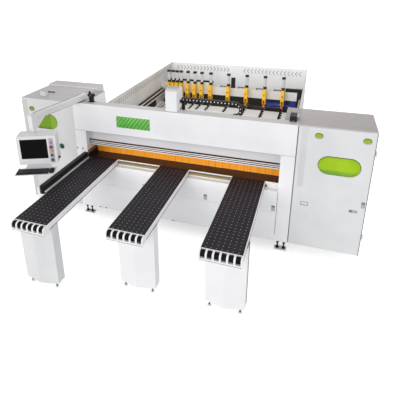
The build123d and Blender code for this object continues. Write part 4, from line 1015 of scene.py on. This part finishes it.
    def guide_plate(self) -> None:
        """Screws a board to the inner face of the left column, where panels slide past."""
        plate = Shape().box((-1402, -1050, 997), (-1396, -790, 1120), 1.5)
        for y in (-1010, -920, -830):
            cap_screw(plate, (-1396, y, 1098), (1, 0, 0), 7)
        plate.make("column_guide_plate", SHEEN_PHENOLIC, Slot.PHENOLIC)

    def sill_brushes(self) -> None:
        """Lays the brush seals in the slot of the sill, and a cover in its short right part."""
        brushes = Shape()
        for start, end in ((-941, -277), (175, 782)):
            brushes.box((start, -983, 955), (end, -975, 982), 0.3)
        brushes.make("sill_brushes", BRUSH_FIBRE, Slot.BLACK)
        cover = Shape().box((1233, -983.5, 953.5), (1404, -975, 983.5), 0.5)
        cover.make("sill_slot_cover", TABLE_COAT, Slot.WHITE)

    def rear_panels(self) -> None:
        """Screws an access panel and a louvred vent to the back of each cabinet."""
        slope = Matrix.Rotation(math.radians(-35.0), 4, "X")
        for name, left, right, y, finish in (
            ("left", -2400, -1680, -115, LEFT_COAT), ("right", 1680, 2380, -393, SHADED_CABINET_COAT),
        ):
            panel = Shape().box((left, y, 320), (right, y + 3, 1250), 1.0)
            panel.box((left + 70, y, 1420), (right - 70, y + 2, 1700), 0.8)
            for z in range(1450, 1680, 28):
                lean = Matrix.Translation(Vector((0.0, y + 4, z)) * MM) @ slope
                panel.box((left + 110, -1, -9), (right - 110, 1, 9), 0.4, lean)
            panel.make(f"{name}_rear_panel", finish, Slot.WHITE)
            screws = Shape()
            for x in (left + 25, (left + right) / 2, right - 25):
                for z in (345, 1225):
                    cap_screw(screws, (x, y + 3, z), (0, 1, 0), 8)
            screws.make(f"{name}_rear_screws", ZINC, Slot.ZINC)

    def lip_seal(self) -> None:
        """Runs a thin orange lip along the profile, with black strips of painted shade in its
        grooves.
        """
        left, right = self.profile
        lip = Shape().box((left, -984, 1262), (right, -966, 1267), 1.0)
        lip.make("profile_lip", LIP_RUBBER, Slot.ORANGE)
        # The black strips above the lip and in the grooves are painted shade.
        seals = Shape().box((left, -983, 1267), (right, -966, 1279), 1.0)
        for low in (1214, 1240):
            seals.box((left, -986, low), (right, -977, low + 10), 0)
            seals.box((left, -988, low - 1), (right, -986, low + 11), 0.6)
        seals.make("profile_groove_shade_strips", BLACK_PLASTIC, Slot.BLACK)


@dataclass
class AirTables(Assembly):
    """Three ball tables with their noses, legs and the squaring fence."""

    looks = {
        LAMINATE: ("table_top_1", "table_top_2", "table_top_3"),
        TABLE_COAT: ("table_box_1", "table_box_2", "table_box_3"),
        WHITE_COAT: ("table_leg_2", "table_leg_3"),
        SHADED_CABINET_COAT: ("table_leg_1",),
        SLEEVE_RUBBER: ("nose_rollers_1", "nose_rollers_2", "nose_rollers_3"),
        BLACK_ENAMEL: ("squaring_fence",),
    }
    centres: tuple[float, ...] = (-1167.0, -51.0, 1008.0)
    fronts: tuple[float, ...] = (-2754.0, -2575.0, -2575.0)
    back: float = -985.0
    height: float = 995.0
    ledge: float = 915.0
    width: float = 444.0
    columns: int = 7
    pitch: float = 57.0
    front_gap: float = 35.0
    back_gap: float = 25.0

    def build(self) -> None:
        """Adds the ball valves, the edgings and the fence strip."""
        for number, (centre, front) in enumerate(zip(self.centres, self.fronts), start=1):
            self.balls(number, centre, front)
        self.edgings()
        self.fence_strip()

    def places(self, centre: float, front: float) -> Iterator[Span]:
        """Gives the places of the balls on one table, in square rows.

        Args:
            centre: Middle of the table along X.
            front: Front edge of its top.

        Returns:
            Points (x, y) of the balls.
        """
        steps = int((self.back - self.back_gap - front - self.front_gap) / self.pitch)
        first = centre - (self.columns - 1) / 2 * self.pitch
        for row in range(steps + 1):
            for column in range(self.columns):
                yield first + column * self.pitch, front + self.front_gap + row * self.pitch

    def balls(self, number: int, centre: float, front: float) -> None:
        """Sets the ball valves of one table, each a seat ring with a ball that stands proud.

        Args:
            number: Number of the table.
            centre: Middle of the table along X.
            front: Front edge of its top.
        """
        field_of_balls = Shape()
        outline = [(0.0, 6.5), (0.6, 6.0), (0.6, 4.6), (1.8, 3.4), (2.4, 0.0)]
        for x, y in self.places(centre, front):
            field_of_balls.lathe((x, y, self.height), (0, 0, 1), outline, 8)
        field_of_balls.make(f"air_balls_{number}", BALL_STEEL, Slot.STEEL)

    def edgings(self) -> None:
        """Edges each top's front, chin and sides, and the rear corner of the third leg."""
        angles, beads, strips = Shape(), Shape(), Shape()
        top, ledge = self.height, self.ledge
        for centre, front in zip(self.centres, self.fronts):
            left, right = centre - self.width / 2, centre + self.width / 2
            angles.box((left + 5, front - 3, top), (right - 5, front + 7, top + 1.5), 0.4)
            angles.box((left + 5, front - 3, top - 9), (right - 5, front - 0.5, top), 0.4)
            # The grey bead under each chin is painted shade.
            beads.box((left, front - 60, ledge - 25), (right, front - 55, ledge - 21), 1.0)
            for side in (left, right - 2):
                strips.box((side, front + 45, ledge), (side + 2, self.back - 2, ledge + 8), 0.4)
        angles.make("top_front_angles", ALUMINIUM, Slot.ALUMINIUM)
        beads.make("nose_chin_shade_beads", ZINC, Slot.ZINC)
        strips.box((1238, -2252, 82), (1240, -2203, 913), 0.6)
        strips.make("table_side_strips", DARK_PLASTIC, Slot.BLACK)

    def fence_strip(self) -> None:
        """Screws the jointed strip to the fence, and carries the fence on inside the opening."""
        strip = Shape()
        for start, end in ((-2150, -1800), (-1794, -1450), (-1444, -1066)):
            strip.box((-1400, start, 1008), (-1378, end, 1022), 1.0)
        strip.make("fence_strip", ALUMINIUM, Slot.ALUMINIUM)
        run_in = Shape().box((-1396, -1066, 996), (-1384, -790, 1072), 1.5)
        run_in.make("fence_run_in", BLACK_ENAMEL, Slot.BLACK)


@dataclass
class TopGear(Assembly):
    """What stands on the gantry: cable chain, air service unit and end bracket."""

    looks = {BLACK_PLASTIC: ("drag_chain", "air_service_unit"), BLACK_ENAMEL: ("beam_end_bracket",)}
    chain_y: float = -800.0
    chain_start: float = 20.0
    chain_pitch: float = 48.5
    chain_links: int = 15
    chain_runs: Span = (1807.0, 1980.0)
    bend_links: int = 6
    link_halves: Span = (25.0, 30.0)

    def build(self) -> None:
        """Adds the chain's rivets and cover, the air unit's fittings and the dome cap."""
        self.rivets()
        self.air_fittings()
        dome = [(0, 29), (22, 29), (33, 25), (41, 15), (44, 0)]
        cap = Shape().lathe((1545, -765, 1862), (0, 0, 1), dome, 20)
        cap.make("beam_end_cap", WHITE_NYLON, Slot.WHITE)
        cover = Shape().box((58, -836, 1829), (738, -764, 1831.5), 0.8)
        for y in (-836, -767):
            cover.box((58, y, 1786), (738, y + 3, 1829), 0.4)
        cover.make("chain_cover", PLATE_COAT, Slot.GREY)

    def rivets(self) -> None:
        """Sets white rivets in both sides of the chain links, along the upper run and the bend."""
        dots = Shape()
        head = [(0.0, 8.5), (2.0, 7.8), (3.0, 0.0)]
        inner, outer = self.link_halves
        low, high = self.chain_runs
        radius = (high - low) / 2
        end = self.chain_start + self.chain_links * self.chain_pitch
        links = []
        for i in range(self.chain_links):
            x = self.chain_start + (i + 0.5) * self.chain_pitch
            links.append((x, high, outer if i % 2 == 0 else inner))
        for i in range(self.bend_links):
            turn = math.pi * (i + 0.5) / self.bend_links
            x, z = end + radius * math.sin(turn), (high + low) / 2 + radius * math.cos(turn)
            links.append((x, z, inner if i % 2 == 0 else outer))
        for x, z, half in links:
            for way in (-1, 1):
                dots.lathe((x, self.chain_y + way * half, z), (0, way, 0), head, 8)
        dots.make("chain_rivets", WHITE_NYLON, Slot.BLACK)

    def air_fittings(self) -> None:
        """Adds a gauge, a knob and push-in fittings to the air unit."""
        face = [(0, 17), (10, 17), (12, 15.5), (12, 14), (9, 14), (9, 0)]
        dial = Shape().lathe((-1324, -975, 1964), (0, -1, 0), face, 20)
        dial.make("air_gauge", DARK_PLASTIC, Slot.BLACK)
        fittings = Shape()
        push_in = [(0, 10), (8, 10), (9, 7), (20, 7), (21, 5), (21, 0)]
        for x, way in ((-1367, -1), (-1282, 1)):
            fittings.lathe((x, -948, 1962), (way, 0, 0), push_in, 12)
        knob = [(0, 15), (12, 14), (15, 11), (15, 0)]
        fittings.lathe((-1346, -948, 2005), (0, 0, 1), knob, 16)
        fittings.make("air_fittings", BLACK_PLASTIC, Slot.BLACK)


@dataclass
class RearTable(Assembly):
    """Channel plates, wheel rails, cross tubes, side beams and guards behind the saw."""

    looks = {
        PLATE_COAT: ("rear_table_plates",),
        BLACK_ENAMEL: ("wheel_rails",),
        SHADED_TUBE_PAINT: ("rear_crossbeams",),
        GUARD_SIDE: ("guard_left", "guard_right"),
        GUARD_REAR: ("guard_back",),
        GREY_COAT: ("side_beams",),
    }
    clamp_first: float = -1210.0
    clamp_steps: tuple[int, ...] = (90, 90, 90, 150, 150, 150, 190, 370, 370, 360, 350)
    wheel_pitch: int = 135
    guard_sides: Span = (-1414.0, 1541.0)
    guard_back: float = 2821.0
    strip_foot: int = 60
    strip_top: int = 1480
    strip_half: float = 32.0
    rivet_pitch: int = 225

    def clamp_places(self) -> list[float]:
        """Gives the clamps' places along X."""
        places = [self.clamp_first]
        for step in self.clamp_steps:
            places.append(places[-1] + step)
        return places

    def build(self) -> None:
        """Adds rail wheels, a junction box, a wear strip and the guard's joint strips."""
        # The wheels are larger and further apart than real ones, so that each shows.
        tread = [(0, 0), (0, 21), (1.5, 24), (11.5, 24), (13, 21), (13, 0)]
        wheels = Shape()
        for x in self.clamp_places():
            for y in range(-370, 2300, self.wheel_pitch):
                wheels.lathe((x + 14.5, y, 971), (1, 0, 0), tread, 16)
        wheels.make("rail_wheels", WHITE_NYLON, Slot.BLACK)
        boxes = Shape().box((-1396, 1190, 993), (-1342, 1600, 1112), 6)
        boxes.box((-1342, 1230, 1010), (-1338, 1560, 1096), 1.5)
        boxes.box((-1285, -380, 993), (-1267, 2325, 996), 0.8)
        boxes.make("rail_junction_box", BLACK_PLASTIC, Slot.BLACK)
        self.joint_strips()

    def joint_strips(self) -> None:
        """Covers the joints between the guard sheets with riveted strips."""
        strips, rivets = Shape(), Shape()
        half, foot, top = self.strip_half, self.strip_foot, self.strip_top
        heights = range(foot + 50, top, self.rivet_pitch)
        head = [(0.0, 8.0), (1.2, 7.0), (1.6, 3.0), (1.6, 0.0)]
        for x, way in zip(self.guard_sides, (-1, 1)):
            low, high = sorted((x, x + way * 2))
            for y in (700, 1760):
                strips.box((low, y - half, foot), (high, y + half, top), 0.6)
                for z in heights:
                    rivets.lathe((x + way * 2, y, z), (way, 0, 0), head, 12)
        y = self.guard_back
        for x in (-430, 560):
            strips.box((x - half, y, foot), (x + half, y + 2, top), 0.6)
            for z in heights:
                rivets.lathe((x, y + 2, z), (0, 1, 0), head, 12)
        strips.make("guard_joint_strips", PLATE_COAT, Slot.GREY)
        rivets.make("guard_joint_rivets", ZINC, Slot.ZINC)


@dataclass
class Pusher(Assembly):
    """Beam with clamps, cylinders and motor."""

    looks = {
        PUSHER_COAT: ("pusher_beam",),
        YELLOW_ENAMEL: ("clamp_bodies",),
        SHADED_YELLOW_ENAMEL: ("clamp_jaws",),
        BLACK_ENAMEL: ("clamp_fingers",),
        CYLINDER: ("clamp_cylinders",),
        BLUE_ENAMEL: ("pusher_motor",),
    }
    clamps: list[float]
    nose: float = 1950.0
    barrel_y: float = 2054.0

    def build(self) -> None:
        """Adds bore plugs, barrel collars and caps, the trunk lid and the motor's fins."""
        plugs, collars = Shape(), Shape()
        plug = [(0, 15), (3, 15), (4, 13.5), (4, 7), (2, 7), (2, 0)]
        collar = [(0, 34), (45, 34), (48, 32), (48, 30), (0, 30), (0, 34)]
        cap = [(0, 11), (5, 11), (7, 9), (7, 4), (4, 4), (4, 0)]
        for x in self.clamps:
            plugs.lathe((x, self.nose, 1290), (0, -1, 0), plug, 16)
            collars.lathe((x, self.barrel_y, 1400), (0, 0, 1), collar, 20)
            collars.lathe((x, self.barrel_y, 1656), (0, 0, 1), cap, 16)
        plugs.make("clamp_bore_plugs", PRIMER, Slot.BLACK, Body.PUSHER)
        collars.make("cylinder_collars", BLACK_PLASTIC, Slot.BLACK, Body.PUSHER)
        lid = Shape().box((-1250, 2098, 1430), (-260, 2130, 1465), 4)
        lid.make("trunk_lid", BLACK_PLASTIC, Slot.BLACK, Body.PUSHER)
        self.motor_fins()

    def motor_fins(self) -> None:
        """Rings the motor with cooling fins and gives it a terminal box."""
        fins = Shape()
        ring = [(0, 49), (0, 54), (4, 54), (4, 49), (0, 49)]
        for x in range(846, 1110, 16):
            fins.lathe((x, 2152, 1050), (1, 0, 0), ring, 24)
        fins.box((930, 2086, 1020), (1030, 2104, 1080), 3)
        fins.make("motor_fins", BLUE_ENAMEL, Slot.BLUE, Body.PUSHER)


@dataclass
class Console(Assembly):
    """Monitor housing with its controls, hung on the swing arm.

    Points on its face are given as (across, up, outward) from the origin, and each control as its
    height and the opening of its collar.
    """

    looks = {
        CONSOLE_COAT: ("console_arm", "console_box"),
        SCREEN_GLASS: ("console_screen",),
        BLACK_PLASTIC: ("keyboard_and_mouse",),
        RED_PLASTIC: ("estop_button",),
        AMBER_PLASTIC: ("yellow_button",),
        DARK_PLASTIC: ("selector_1", "selector_2"),
    }
    origin: tuple[float, float, float] = (-1513.0, -2045.0, 1338.0)
    turn: float = 23.6
    button_u: float = 180.0
    button_half: float = 16.0
    strip: tuple[float, float, float, float] = (155.5, 212.5, 22.0, 354.0)
    controls: tuple[Span, ...] = (
        (58.0, 16.0), (123.0, 16.0), (182.0, 10.5), (237.0, 10.5), (298.0, 14.5),
    )
    lamp: float = 298.0
    screen: tuple[float, float, float, float] = (-204.5, 131.5, 81.5, 347.5)
    bezel_wide: float = 5.0
    board_top: float = 1280.0
    mouse_top: float = 1288.0
    key_rows: int = 6
    key_columns: int = 20
    key_pitch: Span = (18.6, 18.0)
    arm_pivot: Span = (-1465.0, -840.0)
    arm_end: Span = (-1638.0, -1909.0)
    arm_width: float = 70.0
    arm_low: float = 1880.0
    arm_high: float = 1955.0

    def stand(self) -> Matrix:
        """Gives the matrix from (across, up, outward) metres on the console's face to the frame."""
        yaw = math.radians(self.turn)
        across = Vector((math.cos(yaw), math.sin(yaw), 0.0))
        outward = Vector((math.sin(yaw), -math.cos(yaw), 0.0))
        axes = Matrix((across, Vector((0.0, 0.0, 1.0)), outward)).transposed().to_4x4()
        return Matrix.Translation(Vector(self.origin) * MM) @ axes

    def at(self, u: float, v: float, n: float) -> Vector:
        """Turns a point on the console's face to the frame, in millimetres."""
        return self.stand() @ (Vector((u, v, n)) * MM) / MM

    def way(self, u: float, v: float, n: float) -> Vector:
        """Turns a direction on the console's face to the frame."""
        return self.stand().to_3x3() @ Vector((u, v, n))

    def build(self) -> None:
        """Adds lamp, film, collars, bezel, keys, knob and the arm's beads."""
        dome = [(0, 14), (6, 14), (10, 12), (13, 7), (14, 0)]
        lamp = Shape().lathe(self.at(self.button_u, self.lamp, -1), self.way(0, 0, 1), dome, 20)
        lamp.make("pilot_lamp", PINK_PLASTIC, Slot.RED, Body.CONSOLE)
        self.button_film()
        self.collars()
        self.bezel()
        self.keys()
        turned = [(0, 9), (6, 9), (6, 15), (22, 15), (25, 12), (25, 0)]
        knob = Shape().lathe(self.at(244, 66, -60), self.way(1, 0, 0), turned, 20)
        knob.make("console_side_knob", BLACK_PLASTIC, Slot.BLACK, Body.CONSOLE)
        self.arm_edge_and_shade_beads()

    def arm_edge_and_shade_beads(self) -> None:
        """Runs a dark bead along the arm's upper left edge and one under its lower right edge."""
        start, end = Vector((*self.arm_pivot, 0.0)), Vector((*self.arm_end, 0.0))
        along = (end - start).normalized()
        side = along.cross(Vector((0.0, 0.0, -1.0)))
        axes = Matrix((along, side, Vector((0.0, 0.0, 1.0)))).transposed().to_4x4()
        lay = Matrix.Translation(start * MM) @ axes
        edge = math.copysign(self.arm_width / 2, side.x)
        beads = Shape()
        # The lower bead is painted shade under the arm.
        for place, low, high, length in (
            (-edge, self.arm_high, self.arm_high + 3, 1030),
            (edge, self.arm_low - 4, self.arm_low, 885),
        ):
            near, far = sorted((place, place - math.copysign(7, place)))
            beads.box((85, near, low), (length, far, high), 0.8, lay)
        beads.make("arm_edge_and_shade_beads", DARK_PLASTIC, Slot.BLACK, Body.ARM)

    def button_film(self) -> None:
        """Lines the button strip with a grey film that is cut out round each control."""
        film = Shape()
        half = self.button_half
        left, right, foot, top = self.strip
        hole_left, hole_right = self.button_u - half, self.button_u + half
        edges = [foot, *(v + way for v, _ in self.controls for way in (-half, half)), top]
        pieces = [(left, hole_left, foot, top), (hole_right, right, foot, top)]
        pieces += [(hole_left, hole_right, *span) for span in zip(edges[::2], edges[1::2])]
        for near, far, low, high in pieces:
            film.box((near, low, -1), (far, high, -0.5), 0.2, self.stand())
        film.make("button_film", STRIP_FILM, Slot.GREY, Body.CONSOLE)

    def collars(self) -> None:
        """Rings each control with a grey collar."""
        rings = Shape()
        for v, inner in self.controls:
            outline = [(0, 21), (1.6, 21), (2.2, 20), (2.2, inner), (0, inner), (0, 21)]
            rings.lathe(self.at(self.button_u, v, -1), self.way(0, 0, 1), outline, 24)
        rings.make("control_collars", ZINC, Slot.ZINC, Body.CONSOLE)

    def bezel(self) -> None:
        """Frames the screen with a thin dark lip."""
        lip = Shape()
        for a, b in border(*self.screen, self.bezel_wide):
            lip.box((*a, -1), (*b, 1), 0.4, self.stand())
        lip.make("screen_bezel", BLACK_PLASTIC, Slot.BLACK, Body.CONSOLE)

    def keys(self) -> None:
        """Lays key caps on the keyboard and a wheel on the mouse."""
        stand = self.stand()
        caps = Shape()
        board, mouse = self.board_top - self.origin[2], self.mouse_top - self.origin[2]
        for row in range(self.key_rows):
            for column in range(self.key_columns):
                u, n = -254 + column * self.key_pitch[0], 12 + row * self.key_pitch[1]
                caps.box((u, board, n), (u + 16.0, board + 5, n + 15.0), 1.2, stand)
        caps.box((165, mouse, 82), (171, mouse + 5, 100), 2, stand)
        caps.make("keyboard_keys", KEY_PLASTIC, Slot.BLACK, Body.CONSOLE)


def main() -> None:
    """Builds and dresses every sub-assembly, then the studio."""
    logging.basicConfig(level=logging.INFO, format="%(name)s: %(message)s")
    rear = RearTable()
    for assembly in (
        Housings(), AirTables(), TopGear(), rear, Pusher(rear.clamp_places()), Console(),
    ):
        assembly.build()
        assembly.dress()
        log.info("%s done", type(assembly).__name__)
    Stage().build()


if __name__ == "__main__":
    main()
